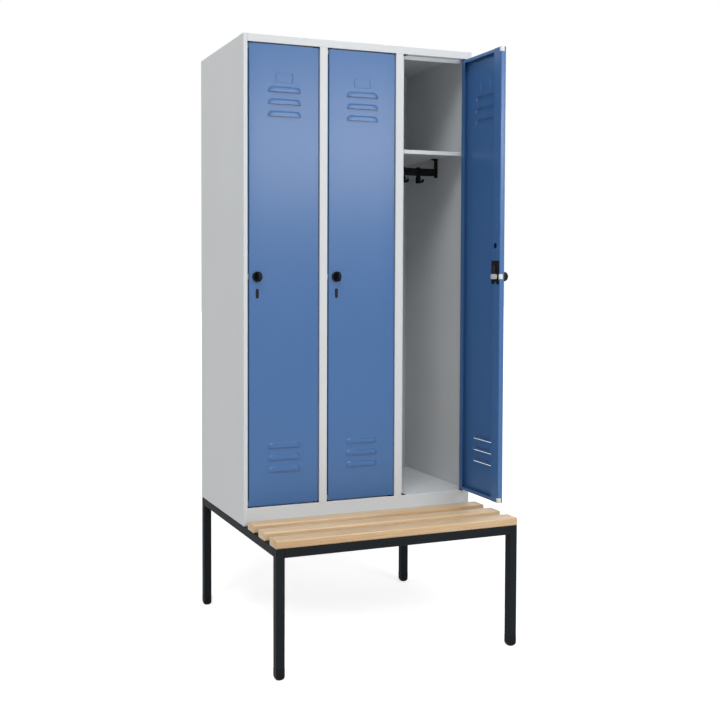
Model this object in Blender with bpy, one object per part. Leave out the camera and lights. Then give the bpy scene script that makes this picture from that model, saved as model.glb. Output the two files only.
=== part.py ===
"""Steel clothes locker with three doors, standing on a tube frame that carries a slatted bench.

Units are metres. +X is to the right seen from the front, +Y to the rear and +Z up.
The origin is on the floor, at the middle of the frame's width and depth.
"""

import math

import bmesh
import bpy
from mathutils import Vector

# Overall sizes of the locker body and of the stand under it
BODY_WIDTH = 0.900
BODY_DEPTH = 0.500
BODY_HEIGHT = 1.700
STAND_DEPTH = 0.815
STAND_HEIGHT = 0.425
BAY_COUNT = 3

# Fits between pieces
SEAT_GAP = 0.0003
RUNNING_GAP = 0.0003
WELD_STEP = 0.0002

# Sheet steel and how it is bent
SHEET = 0.001
BEND_RADIUS = 0.0015

# How finely round shapes are divided
BEND_STEPS = 3
PIN_STEPS = 16
KNOB_STEPS = 24
GRIP_STEPS = 10
FOOT_LEVELS = 6

# Face frame of the body
STILE_WIDTH = 0.015
MULLION_WIDTH = 0.030
TOP_BAND = 0.027
BOTTOM_BAND = 0.062
STOP_SETBACK = 0.0213
STOP_LIP = 0.013
HEAD_LIP = 0.014
BAND_RETURN = 0.020

# Doors
DOOR_GAP = 0.005
DOOR_THICKNESS = 0.0185
DOOR_HINGE_RETURN = 0.021
DOOR_LOCK_CHANNEL = 0.047
DOOR_END_RETURN = 0.012
HINGE_EDGE_INSET = 0.004
HINGE_FACE_INSET = 0.005
OPEN_DOOR_ANGLE = math.radians(90)

# Door pivots: a steel pin in a plastic collar
PIVOT_PIN_RADIUS = 0.0025
PIVOT_PIN_IN_DOOR = 0.012
PIVOT_PIN_IN_FRAME = 0.008
COLLAR_LENGTH = 0.020
COLLAR_DEPTH = 0.013
COLLAR_CORNER = 0.003

# Ventilation louvres in a door
LOUVRE_COUNT = 3
LOUVRE_PITCH = 0.042
LOUVRE_HEIGHT = 0.0185
LOUVRE_LOWER_WIDTH = 0.124
LOUVRE_UPPER_WIDTH = 0.094
LOUVRE_BULGE = 0.006
LOUVRE_SIDE_SLOPE = 0.7
LOUVRE_STEPS = 3
LOUVRE_BOTTOM_MARGIN = 0.118
LOUVRE_TOP_MARGIN = 0.143

# Embossed frame for a name card
CARD_WIDTH = 0.064
CARD_HEIGHT = 0.0325
CARD_TOP_MARGIN = 0.0965
CARD_RIM = 0.002
CARD_RISE = 0.0006

# Turn latch
LATCH_INSET = 0.030
LATCH_HEIGHT = 0.800
SPINDLE_RADIUS = 0.006
SPINDLE_CLEARANCE = 0.0005
KNOB_RADIUS = 0.0182
KNOB_DISC = 0.007
KNOB_EDGE = 0.002
GRIP_LENGTH = 0.035
GRIP_THICKNESS = 0.009
GRIP_EDGE = 0.001
KNOB_PROJECTION = 0.034
TONGUE_REACH = 0.041
TONGUE_TAIL = 0.010
TONGUE_WIDTH = 0.016
TONGUE_CORNER = 0.004
TONGUE_THICKNESS = 0.0018
TONGUE_CLEARANCE = 0.0007
HUB_LENGTH = 0.037
HUB_WIDTH = 0.0178
HUB_CORNER = 0.006
HUB_THICKNESS = 0.0012
HUB_OFFSET = 0.002
LOCK_PLATE_THICKNESS = 0.0017
LOCK_PLATE_EDGE_MARGIN = 0.004
LOCK_PLATE_WIDTH = 0.046
LOCK_PLATE_RISE = 0.056
LOCK_PLATE_DROP = 0.026
LOCK_PLATE_NOTCH_RADIUS = 0.009
LOCK_PLATE_CORNER = 0.002
SPARE_HOLE_RADIUS = 0.010
SPARE_HOLE_RISE = 0.109

# Blanking insert under the knob
SLOT_WIDTH = 0.011
SLOT_LENGTH = 0.034
SLOT_DROP = 0.059
SLOT_RIM = 0.001
SLOT_FACE = 0.0008
SLOT_PLUG = 0.004

# Hat shelf
SHELF_DROP = 0.367
SHELF_SETBACK = 0.030
SHELF_LIP = 0.014

# Coat rail under the shelf
RAIL_SETBACK = 0.250
RAIL_DROP = 0.040
RAIL_HEIGHT = 0.029
RAIL_DEPTH = 0.012
RAIL_CORNER = 0.004
BRACKET_WIDTH = 0.006
BRACKET_DEPTH = 0.018
BRACKET_TOE = 0.006
BRACKET_FOOT_LENGTH = 0.014
BRACKET_FOOT_THICKNESS = 0.004
BRACKET_GUSSET = 0.006

# Sliding hooks on the rail
HOOK_COUNT = 3
HOOK_PITCH = 0.066
HOOK_THICKNESS = 0.008
HOOK_RAIL_CLEARANCE = 0.0004
HOOK_WALL = 0.0034
HOOK_STEM_DEPTH = 0.027
HOOK_DROP = 0.030
HOOK_REACH = 0.041
HOOK_SECTION = 0.007
HOOK_TIP_HEIGHT = 0.0135
HOOK_NOSE_RADIUS = 0.012
HOOK_HEEL_RADIUS = 0.004
HOOK_THROAT_RADIUS = 0.003
HOOK_TIP_RADIUS = 0.003

# Tube stand
TUBE_SIZE = 0.030
TUBE_WALL = 0.002
TUBE_CORNER = 0.003
FOOT_HEIGHT = 0.037
FOOT_PLUG = 0.020
FOOT_ROUNDING = 0.021
FOOT_INSET = 0.009

# Bench slats
SLAT_COUNT = 3
SLAT_WIDTH = 0.062
SLAT_THICKNESS = 0.027
SLAT_EDGE = 0.005
BENCH_REAR_GAP = 0.041

# Places worked out from the sizes above
SIDE = BODY_WIDTH / 2
STAND_FRONT = -STAND_DEPTH / 2
REAR = STAND_DEPTH / 2
BODY_FRONT = REAR - BODY_DEPTH
BENCH_DEPTH = STAND_DEPTH - BODY_DEPTH - BENCH_REAR_GAP
SLAT_PITCH = (BENCH_DEPTH - SLAT_WIDTH) / (SLAT_COUNT - 1)
BODY_BOTTOM = STAND_HEIGHT + SEAT_GAP
BODY_TOP = STAND_HEIGHT + BODY_HEIGHT
FLOOR_TOP = STAND_HEIGHT + BOTTOM_BAND
HEAD = BODY_TOP - TOP_BAND
STOP_FRONT = BODY_FRONT + STOP_SETBACK
STOP_BACK = STOP_FRONT + SHEET
INNER_BACK = REAR - SHEET - SEAT_GAP
OPENING_WIDTH = (BODY_WIDTH - 2 * STILE_WIDTH - (BAY_COUNT - 1) * MULLION_WIDTH) / BAY_COUNT
BAY_PITCH = OPENING_WIDTH + MULLION_WIDTH
DOOR_WIDTH = OPENING_WIDTH - 2 * DOOR_GAP
DOOR_BOTTOM = FLOOR_TOP + DOOR_GAP
DOOR_HEIGHT = HEAD - FLOOR_TOP - 2 * DOOR_GAP
HINGE_Y = BODY_FRONT + HINGE_FACE_INSET
PIVOT_HOLE_RADIUS = PIVOT_PIN_RADIUS + RUNNING_GAP
SHELF_TOP = BODY_TOP - SHELF_DROP
RAIL_Y = BODY_FRONT + RAIL_SETBACK
RAIL_Z = SHELF_TOP - SHEET - RAIL_DROP - RAIL_HEIGHT / 2

# Door coordinates: origin on the hinge axis, at the height of the door's lower edge
FREE_EDGE = HINGE_EDGE_INSET - DOOR_WIDTH
OUTER_FACE = -HINGE_FACE_INSET
INNER_FACE = OUTER_FACE + DOOR_THICKNESS
LATCH_X = FREE_EDGE + LATCH_INSET
TONGUE_FRONT = STOP_SETBACK + SHEET + TONGUE_CLEARANCE

# Finishes: linear red, green and blue, then roughness and metallic
BODY_PAINT = (0.60, 0.61, 0.62, 0.40, 0.0)
DOOR_PAINT = (0.10, 0.20, 0.42, 0.35, 0.0)
STAND_PAINT = (0.022, 0.026, 0.028, 0.55, 0.0)
BEECH = (0.58, 0.40, 0.24, 0.45, 0.0)
BLACK_PLASTIC = (0.012, 0.012, 0.013, 0.50, 0.0)
BRIGHT_STEEL = (0.55, 0.55, 0.56, 0.35, 0.9)


def opening_left(bay):
    """Left edge of a bay's door opening."""
    return -SIDE + STILE_WIDTH + bay * BAY_PITCH


def opening_right(bay):
    """Right edge of a bay's door opening."""
    return opening_left(bay) + OPENING_WIDTH


def hinge_x(bay):
    """Where a bay's hinge axis stands."""
    return opening_right(bay) - DOOR_GAP - HINGE_EDGE_INSET


def divider_x(index):
    """Middle of the divider to the right of the bay with this index."""
    return opening_right(index) + MULLION_WIDTH / 2


def bay_walls(bay):
    """Inner faces of the walls on the left and the right of a bay."""
    left = -SIDE + SHEET if bay == 0 else divider_x(bay - 1) + SHEET / 2
    right = SIDE - SHEET if bay == BAY_COUNT - 1 else divider_x(bay) - SHEET / 2
    return left, right


def rounded(corners, radii, steps=BEND_STEPS):
    """Closed outline through the corners, each one rounded by its own radius."""
    if not isinstance(radii, (list, tuple)):
        radii = [radii] * len(corners)
    points = []
    for index, corner in enumerate(corners):
        here = Vector(corner)
        back = (Vector(corners[index - 1]) - here).normalized()
        ahead = (Vector(corners[(index + 1) % len(corners)]) - here).normalized()
        half = back.angle(ahead) / 2
        radius = radii[index]
        if radius <= 0 or abs(half - math.pi / 2) < 1e-4:
            points.append(here)
            continue
        centre = here + (back + ahead).normalized() * radius / math.sin(half)
        start = here + back * radius / math.tan(half) - centre
        turn = start.angle_signed(here + ahead * radius / math.tan(half) - centre)
        for step in range(steps + 1):
            angle = -turn * step / steps
            cosine, sine = math.cos(angle), math.sin(angle)
            spoke = Vector((start.x * cosine - start.y * sine, start.x * sine + start.y * cosine))
            points.append(centre + spoke)
    return [(point.x, point.y) for point in points]


def rectangle(left, bottom, right, top):
    """Corners of a rectangle, anticlockwise."""
    return [(left, bottom), (right, bottom), (right, top), (left, top)]


def circle(x, y, radius, steps):
    """Outline of a circle."""
    angles = [2 * math.pi * step / steps for step in range(steps)]
    return [(x + radius * math.cos(a), y + radius * math.sin(a)) for a in angles]


def folded_sheet(path):
    """Outline of a sheet that is bent along its middle line."""
    middle = [Vector(point) for point in path]
    runs = [(end - start).normalized() for start, end in zip(middle, middle[1:])]
    normals = [Vector((-run.y, run.x)) for run in runs]
    left, right, left_radii, right_radii = [], [], [], []
    for index, point in enumerate(middle):
        before = normals[max(index - 1, 0)]
        after = normals[min(index, len(normals) - 1)]
        mitre = (before + after) / (1 + before.dot(after)) * SHEET / 2
        turn = before.cross(after) if 0 < index < len(middle) - 1 else 0
        reach = SHEET / 2 if turn > 0 else -SHEET / 2
        left.append(point + mitre)
        right.append(point - mitre)
        left_radii.append(BEND_RADIUS - reach if turn else 0)
        right_radii.append(BEND_RADIUS + reach if turn else 0)
    outline = [tuple(point) for point in left + right[::-1]]
    return rounded(outline, left_radii + right_radii[::-1])


def placed(axis, along, u, v):
    """Point in space of an outline point u, v at a distance along an axis."""
    return {"X": (along, u, v), "Y": (u, along, v), "Z": (u, v, along)}[axis]


def solid(name, shape):
    """Object made from a bmesh, with its faces turned outward."""
    bmesh.ops.recalc_face_normals(shape, faces=shape.faces)
    mesh = bpy.data.meshes.new(name)
    shape.to_mesh(mesh)
    shape.free()
    item = bpy.data.objects.new(name, mesh)
    bpy.context.scene.collection.objects.link(item)
    return item


def loft(name, rings):
    """Solid through rings of points, closed by a face at each end."""
    shape = bmesh.new()
    levels = [[shape.verts.new(point) for point in ring] for ring in rings]
    for lower, upper in zip(levels, levels[1:]):
        for index in range(len(lower)):
            following = (index + 1) % len(lower)
            shape.faces.new((lower[index], lower[following], upper[following], upper[index]))
    shape.faces.new(levels[0])
    shape.faces.new(levels[-1])
    return solid(name, shape)


def prism(name, outline, axis, start, end):
    """Outline extruded along an axis."""
    rings = [[placed(axis, along, u, v) for u, v in outline] for along in (start, end)]
    return loft(name, rings)


def box(name, low, high):
    """Box between two opposite corners."""
    return prism(name, rectangle(low[0], low[1], high[0], high[1]), "Z", low[2], high[2])


def pipe(name, outer, inner, axis, start, end):
    """Outline with a bore of the same number of points, open at both ends."""
    shape = bmesh.new()
    loops = ((outer, start), (outer, end), (inner, end), (inner, start))
    rings = [[shape.verts.new(placed(axis, along, u, v)) for u, v in loop] for loop, along in loops]
    for ring, beside in zip(rings, rings[1:] + rings[:1]):
        for index in range(len(ring)):
            following = (index + 1) % len(ring)
            shape.faces.new((ring[index], ring[following], beside[following], beside[index]))
    return solid(name, shape)


def combine(item, tools, operation):
    """Join the tools to an object, or cut them out of it, and remove them."""
    for tool in tools:
        modifier = item.modifiers.new(operation.title(), "BOOLEAN")
        modifier.operation = operation
        modifier.solver = "EXACT"
        modifier.object = tool
    evaluated = item.evaluated_get(bpy.context.evaluated_depsgraph_get())
    mesh = bpy.data.meshes.new_from_object(evaluated)
    plain = item.data
    item.modifiers.clear()
    item.data = mesh
    bpy.data.meshes.remove(plain)
    mesh.name = item.name
    for tool in tools:
        bpy.data.meshes.remove(tool.data)
    return item


def copy_of(item, name):
    """Another object with the same mesh."""
    twin = bpy.data.objects.new(name, item.data)
    bpy.context.scene.collection.objects.link(twin)
    return twin


def paint(item, finish):
    """Give an object its own material."""
    *colour, roughness, metallic = finish
    material = bpy.data.materials.new(item.name)
    material.use_nodes = True
    shader = material.node_tree.nodes["Principled BSDF"]
    shader.inputs["Base Color"].default_value = (*colour, 1.0)
    shader.inputs["Roughness"].default_value = roughness
    shader.inputs["Metallic"].default_value = metallic
    if not item.data.materials:
        item.data.materials.append(None)
    item.material_slots[0].link = "OBJECT"
    item.material_slots[0].material = material


def smooth(item, degrees=30):
    """Shade round stretches smooth and keep real edges sharp."""
    item.data.shade_smooth()
    item.data.set_sharp_from_angle(angle=math.radians(degrees))


def axis_empty(name, location, turn=0.0, parent=None):
    """Empty that stands on a joint's axis."""
    empty = bpy.data.objects.new(name, None)
    empty.empty_display_size = TUBE_SIZE
    empty.location = location
    empty.rotation_euler = (0.0, 0.0, turn)
    empty.parent = parent
    bpy.context.scene.collection.objects.link(empty)
    return empty


def tube(name, axis, start, end, u, v):
    """Square tube of the stand, centred on u, v."""
    half = TUBE_SIZE / 2
    bore = half - TUBE_WALL
    outer = rounded(rectangle(u - half, v - half, u + half, v + half), TUBE_CORNER)
    inner = rounded(rectangle(u - bore, v - bore, u + bore, v + bore), TUBE_CORNER - TUBE_WALL)
    item = pipe(name, outer, inner, axis, start, end)
    smooth(item)
    paint(item, STAND_PAINT)
    return item


def build_stand():
    """Four legs, the rails between them and the cross rail under the body's front."""
    half = TUBE_SIZE / 2
    inside = SIDE - TUBE_SIZE - SEAT_GAP
    height = STAND_HEIGHT - half
    for side, x in (("left", -SIDE + half), ("right", SIDE - half)):
        for end, y in (("front", STAND_FRONT + half), ("rear", REAR - half)):
            tube(f"leg_{end}_{side}", "Z", FOOT_HEIGHT + SEAT_GAP, STAND_HEIGHT, x, y)
        start = STAND_FRONT + TUBE_SIZE + SEAT_GAP
        tube(f"rail_{side}", "Y", start, REAR - TUBE_SIZE - SEAT_GAP, x, height)
    for name, y in (
        ("rail_front", STAND_FRONT + half),
        ("rail_rear", REAR - half),
        ("cross_rail", BODY_FRONT + half),
    ):
        tube(name, "X", -inside, inside, y, height)


def build_feet():
    """Plastic feet: rounded blocks as wide as the tube, with a plug that goes up into it."""
    half = TUBE_SIZE / 2 + SEAT_GAP
    bore = TUBE_SIZE / 2 - TUBE_WALL - SEAT_GAP
    rings = []
    for level in range(FOOT_LEVELS):
        angle = math.pi / 2 * level / (FOOT_LEVELS - 1)
        inset = FOOT_INSET * (1 - math.sin(angle))
        reach = half - inset
        corner = min(TUBE_CORNER + inset, reach - SHEET)
        outline = rounded(rectangle(-reach, -reach, reach, reach), corner)
        height = FOOT_ROUNDING * (1 - math.cos(angle))
        rings.append([(x, y, height) for x, y in outline])
    outer = rounded(rectangle(-half, -half, half, half), TUBE_CORNER)
    plug = rounded(rectangle(-bore, -bore, bore, bore), TUBE_CORNER - TUBE_WALL)
    rings.append([(x, y, FOOT_HEIGHT) for x, y in outer])
    rings.append([(x, y, FOOT_HEIGHT) for x, y in plug])
    rings.append([(x, y, FOOT_HEIGHT + FOOT_PLUG) for x, y in plug])
    pattern = loft("foot_front_left", rings)
    smooth(pattern)
    reach = SIDE - TUBE_SIZE / 2
    for side, x in (("left", -reach), ("right", reach)):
        for end, y in (("front", STAND_FRONT + TUBE_SIZE / 2), ("rear", REAR - TUBE_SIZE / 2)):
            name = f"foot_{end}_{side}"
            item = pattern if name == pattern.name else copy_of(pattern, name)
            item.location = (x, y, 0.0)
            paint(item, BLACK_PLASTIC)


def build_bench():
    """Wooden slats across the stand, in front of the body."""
    bottom = STAND_HEIGHT + SEAT_GAP
    for index in range(SLAT_COUNT):
        front = STAND_FRONT + index * SLAT_PITCH
        section = rectangle(front, bottom, front + SLAT_WIDTH, bottom + SLAT_THICKNESS)
        item = prism(f"slat_{index + 1}", rounded(section, SLAT_EDGE, 2 * BEND_STEPS), "X", -SIDE, SIDE)
        smooth(item)
        paint(item, BEECH)


def build_sides():
    """Side panels, each folded round into a front stile with a stop lip."""
    middle = SHEET / 2
    for name, sign in (("side_left", -1), ("side_right", 1)):
        outside = sign * (SIDE - middle)
        inside = sign * (SIDE - STILE_WIDTH + middle)
        path = [
            (outside, REAR),
            (outside, BODY_FRONT + middle),
            (inside, BODY_FRONT + middle),
            (inside, STOP_BACK),
        ]
        item = prism(name, folded_sheet(path), "Z", BODY_BOTTOM, BODY_TOP)
        lip_edge = sign * (SIDE - STILE_WIDTH - STOP_LIP)
        low, high = min(inside, lip_edge), max(inside, lip_edge)
        lip = box(
            "lip",
            (low, STOP_FRONT, FLOOR_TOP + SEAT_GAP),
            (high, STOP_BACK - WELD_STEP, HEAD - SEAT_GAP),
        )
        combine(item, [lip], "UNION")
        smooth(item)
        paint(item, BODY_PAINT)


def build_dividers():
    """Walls between the bays, each with a hollow mullion in front."""
    middle = SHEET / 2
    low, high = FLOOR_TOP + SEAT_GAP, HEAD - SEAT_GAP
    for index in range(BAY_COUNT - 1):
        x = divider_x(index)
        half = MULLION_WIDTH / 2 - middle
        path = [
            (x - half, STOP_BACK - middle),
            (x - half, BODY_FRONT + middle),
            (x + half, BODY_FRONT + middle),
            (x + half, STOP_BACK - middle),
        ]
        item = prism(f"divider_{index + 1}", folded_sheet(path), "Z", low, high)
        reach = MULLION_WIDTH / 2 + STOP_LIP
        start, end = low + WELD_STEP, high - WELD_STEP
        stop = box("stop", (x - reach, STOP_FRONT, start), (x + reach, STOP_BACK, end))
        top = BODY_TOP - SHEET - SEAT_GAP
        profile = [
            (STOP_BACK - middle, low),
            (INNER_BACK, low),
            (INNER_BACK, top),
            (STOP_BACK + SEAT_GAP, top),
            (STOP_BACK + SEAT_GAP, high),
            (STOP_BACK - middle, high),
        ]
        web = prism("web", profile, "X", x - middle, x + middle)
        combine(item, [stop, web], "UNION")
        smooth(item)
        paint(item, BODY_PAINT)


def pivot_holes(low, high):
    """Cutters for the hinge pins, through the frame at one height."""
    holes = []
    for bay in range(BAY_COUNT):
        outline = circle(hinge_x(bay), HINGE_Y, PIVOT_HOLE_RADIUS, PIN_STEPS)
        holes.append(prism("hole", outline, "Z", low, high))
    return holes


def build_roof():
    """Top panel with the front band, its return and the head lips."""
    middle = SHEET / 2
    width = SIDE - STILE_WIDTH - SEAT_GAP
    path = [
        (STOP_BACK + BAND_RETURN, BODY_TOP - middle),
        (BODY_FRONT + middle, BODY_TOP - middle),
        (BODY_FRONT + middle, HEAD + middle),
        (STOP_BACK, HEAD + middle),
    ]
    item = prism("roof", folded_sheet(path), "X", -width, width)
    reach = SIDE - SHEET - SEAT_GAP
    front = STOP_BACK + SEAT_GAP
    low, high = BODY_TOP - SHEET + WELD_STEP, BODY_TOP - WELD_STEP
    joined = [box("panel", (-reach, front, low), (reach, INNER_BACK, high))]
    for bay in range(BAY_COUNT):
        start = opening_left(bay) + STOP_LIP + SEAT_GAP
        end = opening_right(bay) - STOP_LIP - SEAT_GAP
        low, high = HEAD - HEAD_LIP, HEAD + middle
        joined.append(box("lip", (start, STOP_FRONT, low), (end, STOP_BACK - WELD_STEP, high)))
    combine(item, joined, "UNION")
    combine(item, pivot_holes(HEAD - SHEET, HEAD + 2 * SHEET), "DIFFERENCE")
    smooth(item)
    paint(item, BODY_PAINT)


def build_floor():
    """Floor panel, folded down in front into the plinth band and at the rear into a foot."""
    middle = SHEET / 2
    width = SIDE - STILE_WIDTH - SEAT_GAP
    path = [
        (BODY_FRONT + BAND_RETURN, BODY_BOTTOM + middle),
        (BODY_FRONT + middle, BODY_BOTTOM + middle),
        (BODY_FRONT + middle, FLOOR_TOP - middle),
        (STOP_BACK + BAND_RETURN, FLOOR_TOP - middle),
    ]
    item = prism("floor", folded_sheet(path), "X", -width, width)
    reach = SIDE - SHEET - SEAT_GAP
    back = INNER_BACK - middle
    path = [
        (STOP_BACK + SEAT_GAP, FLOOR_TOP - middle - WELD_STEP),
        (back, FLOOR_TOP - middle - WELD_STEP),
        (back, BODY_BOTTOM + middle),
        (back - BAND_RETURN, BODY_BOTTOM + middle),
    ]
    panel = prism("panel", folded_sheet(path), "X", -reach, reach)
    combine(item, [panel], "UNION")
    combine(item, pivot_holes(FLOOR_TOP - 2 * SHEET, FLOOR_TOP + SHEET), "DIFFERENCE")
    smooth(item)
    paint(item, BODY_PAINT)


def build_back():
    """Flat rear panel between the side panels."""
    reach = SIDE - SHEET - SEAT_GAP
    item = box("back", (-reach, REAR - SHEET, BODY_BOTTOM), (reach, REAR, BODY_TOP))
    paint(item, BODY_PAINT)


def build_shelves():
    """Hat shelf in each bay, a tray with its edges folded down."""
    middle = SHEET / 2
    front = BODY_FRONT + SHELF_SETBACK + middle
    back = INNER_BACK - middle
    low = SHELF_TOP - SHELF_LIP
    path = [(front, low), (front, SHELF_TOP - middle), (back, SHELF_TOP - middle), (back, low)]
    for bay in range(BAY_COUNT):
        left, right = bay_walls(bay)
        left, right = left + SEAT_GAP, right - SEAT_GAP
        item = prism(f"shelf_{bay + 1}", folded_sheet(path), "X", left, right)
        ends = []
        for start in (left + WELD_STEP, right - SHEET - WELD_STEP):
            corner = (start, front, low + WELD_STEP)
            ends.append(box("end", corner, (start + SHEET, back, SHELF_TOP - middle)))
        combine(item, ends, "UNION")
        smooth(item)
        paint(item, BODY_PAINT)


def build_rails():
    """Plastic coat rail in each bay, with a bracket at each end that hangs from the shelf."""
    half = RAIL_HEIGHT / 2
    top = SHELF_TOP - SHEET - SEAT_GAP
    bottom = RAIL_Z - half - BRACKET_TOE
    for bay in range(BAY_COUNT):
        left, right = bay_walls(bay)
        margin = SHEET + 2 * SEAT_GAP
        left, right = left + margin, right - margin
        section = rectangle(
            RAIL_Y - RAIL_DEPTH / 2, RAIL_Z - half, RAIL_Y + RAIL_DEPTH / 2, RAIL_Z + half
        )
        overlap = BRACKET_WIDTH / 2
        outline = rounded(section, RAIL_CORNER)
        item = prism(f"coat_rail_{bay + 1}", outline, "X", left + overlap, right - overlap)
        brackets = []
        for edge, inward in ((left, 1), (right, -1)):
            foot = top - BRACKET_FOOT_THICKNESS
            web = edge + inward * BRACKET_WIDTH
            toe = edge + inward * (BRACKET_WIDTH + BRACKET_FOOT_LENGTH)
            outline = [
                (edge, bottom),
                (web, bottom),
                (web, foot - BRACKET_GUSSET),
                (web + inward * BRACKET_GUSSET, foot),
                (toe, foot),
                (toe, top),
                (edge, top),
            ]
            depth = BRACKET_DEPTH / 2
            brackets.append(prism("bracket", outline, "Y", RAIL_Y - depth, RAIL_Y + depth))
        combine(item, brackets, "UNION")
        smooth(item)
        paint(item, BLACK_PLASTIC)


def hook_pattern():
    """Hook: a ring that slides on the rail, and a J below it that opens to the front."""
    bore_depth = RAIL_DEPTH / 2 + HOOK_RAIL_CLEARANCE
    bore_height = RAIL_HEIGHT / 2 + HOOK_RAIL_CLEARANCE
    depth = bore_depth + HOOK_WALL
    height = bore_height + HOOK_WALL
    stem = HOOK_STEM_DEPTH / 2
    bottom = -RAIL_HEIGHT / 2 - HOOK_DROP
    tip = bottom + HOOK_TIP_HEIGHT
    shoulder = -height - (stem - depth)
    outline = [
        (-depth, height),
        (-depth, -height),
        (-stem, shoulder),
        (-stem, bottom + HOOK_SECTION),
        (HOOK_SECTION - HOOK_REACH, bottom + HOOK_SECTION),
        (HOOK_SECTION - HOOK_REACH, tip),
        (-HOOK_REACH, tip),
        (-HOOK_REACH, bottom),
        (stem, bottom),
        (stem, shoulder),
        (depth, -height),
        (depth, height),
    ]
    throat, tip = [HOOK_THROAT_RADIUS] * 2, [HOOK_TIP_RADIUS] * 2
    ring = [HOOK_WALL]
    radii = ring + [0, 0] + throat + tip + [HOOK_NOSE_RADIUS, HOOK_HEEL_RADIUS, 0, 0] + ring
    half = HOOK_THICKNESS / 2
    item = prism("hook", rounded(outline, radii), "X", -half, half)
    bore = rounded(rectangle(-bore_depth, -bore_height, bore_depth, bore_height), RAIL_CORNER)
    combine(item, [prism("bore", bore, "X", -2 * half, 2 * half)], "DIFFERENCE")
    smooth(item)
    return item


def build_hooks():
    """Sliding hooks, evenly spaced about the middle of each bay."""
    pattern = hook_pattern()
    for bay in range(BAY_COUNT):
        centre = sum(bay_walls(bay)) / 2
        for index in range(HOOK_COUNT):
            item = copy_of(pattern, f"hook_{bay + 1}_{index + 1}")
            x = centre + (index - (HOOK_COUNT - 1) / 2) * HOOK_PITCH
            item.location = (x, RAIL_Y, RAIL_Z)
            paint(item, BLACK_PLASTIC)
    bpy.data.objects.remove(pattern)


def build_pivots():
    """Lower and upper pivot of each door: a plastic collar with a pin through it."""
    for bay in range(BAY_COUNT):
        x = hinge_x(bay)
        right = opening_right(bay) - 2 * SEAT_GAP
        front = BODY_FRONT + SHEET
        section = rectangle(right - COLLAR_LENGTH, front, right, front + COLLAR_DEPTH)
        outline = rounded(section, COLLAR_CORNER)
        for name, frame, inward in (("lower", FLOOR_TOP, 1), ("upper", HEAD, -1)):
            start = frame + inward * SEAT_GAP
            end = frame + inward * (DOOR_GAP - RUNNING_GAP)
            item = prism(f"pivot_{name}_{bay + 1}", outline, "Z", start, end)
            pin_start = frame - inward * PIVOT_PIN_IN_FRAME
            pin_end = frame + inward * (DOOR_GAP + PIVOT_PIN_IN_DOOR)
            shank = circle(x, HINGE_Y, PIVOT_PIN_RADIUS, PIN_STEPS)
            pin = prism("pin", shank, "Z", pin_start, pin_end)
            combine(item, [pin], "UNION")
            smooth(item)
            paint(item, BLACK_PLASTIC)


def louvre(inset, back, tail):
    """Hood of a louvre: sloping from its upper edge out to its open lower edge."""
    rings = []
    for step in range(LOUVRE_STEPS + 1):
        share = step / LOUVRE_STEPS
        height = (LOUVRE_HEIGHT - inset) * share
        bulge = max((LOUVRE_BULGE - inset) * math.sqrt(1 - share**2), SHEET / 5)
        narrowing = (LOUVRE_LOWER_WIDTH - LOUVRE_UPPER_WIDTH) / 2 * share**3
        width = LOUVRE_LOWER_WIDTH / 2 - narrowing - inset
        face = width - LOUVRE_SIDE_SLOPE * bulge
        base = width + LOUVRE_SIDE_SLOPE * back
        section = [(-base, back), (-face, -bulge), (face, -bulge), (base, back)]
        if step == 0 and tail:
            rings.append([(x, OUTER_FACE + y, -tail) for x, y in section])
        rings.append([(x, OUTER_FACE + y, height) for x, y in section])
    return loft("louvre", rings)


def door_louvres():
    """Hoods of all the louvres in a door, and the cutters that hollow them."""
    hoods, hollows = [], []
    upper = DOOR_HEIGHT - LOUVRE_TOP_MARGIN - LOUVRE_HEIGHT - (LOUVRE_COUNT - 1) * LOUVRE_PITCH
    middle = FREE_EDGE + DOOR_WIDTH / 2
    for lowest in (LOUVRE_BOTTOM_MARGIN, upper):
        for index in range(LOUVRE_COUNT):
            hood = louvre(0.0, SHEET / 2, 0.0)
            hollow = louvre(SHEET, 2 * SHEET, SHEET)
            for piece in (hood, hollow):
                piece.location = (middle, 0.0, lowest + index * LOUVRE_PITCH)
            hoods.append(hood)
            hollows.append(hollow)
    return hoods, hollows


def card_frame():
    """Raised rim round the place for a name card."""
    middle = FREE_EDGE + DOOR_WIDTH / 2
    top = DOOR_HEIGHT - CARD_TOP_MARGIN
    half = CARD_WIDTH / 2
    outer = rectangle(middle - half, top - CARD_HEIGHT, middle + half, top)
    half -= CARD_RIM
    inner = rectangle(middle - half, top - CARD_HEIGHT + CARD_RIM, middle + half, top - CARD_RIM)
    return pipe("card", outer, inner, "Y", OUTER_FACE - CARD_RISE, OUTER_FACE + SHEET / 2)


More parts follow.
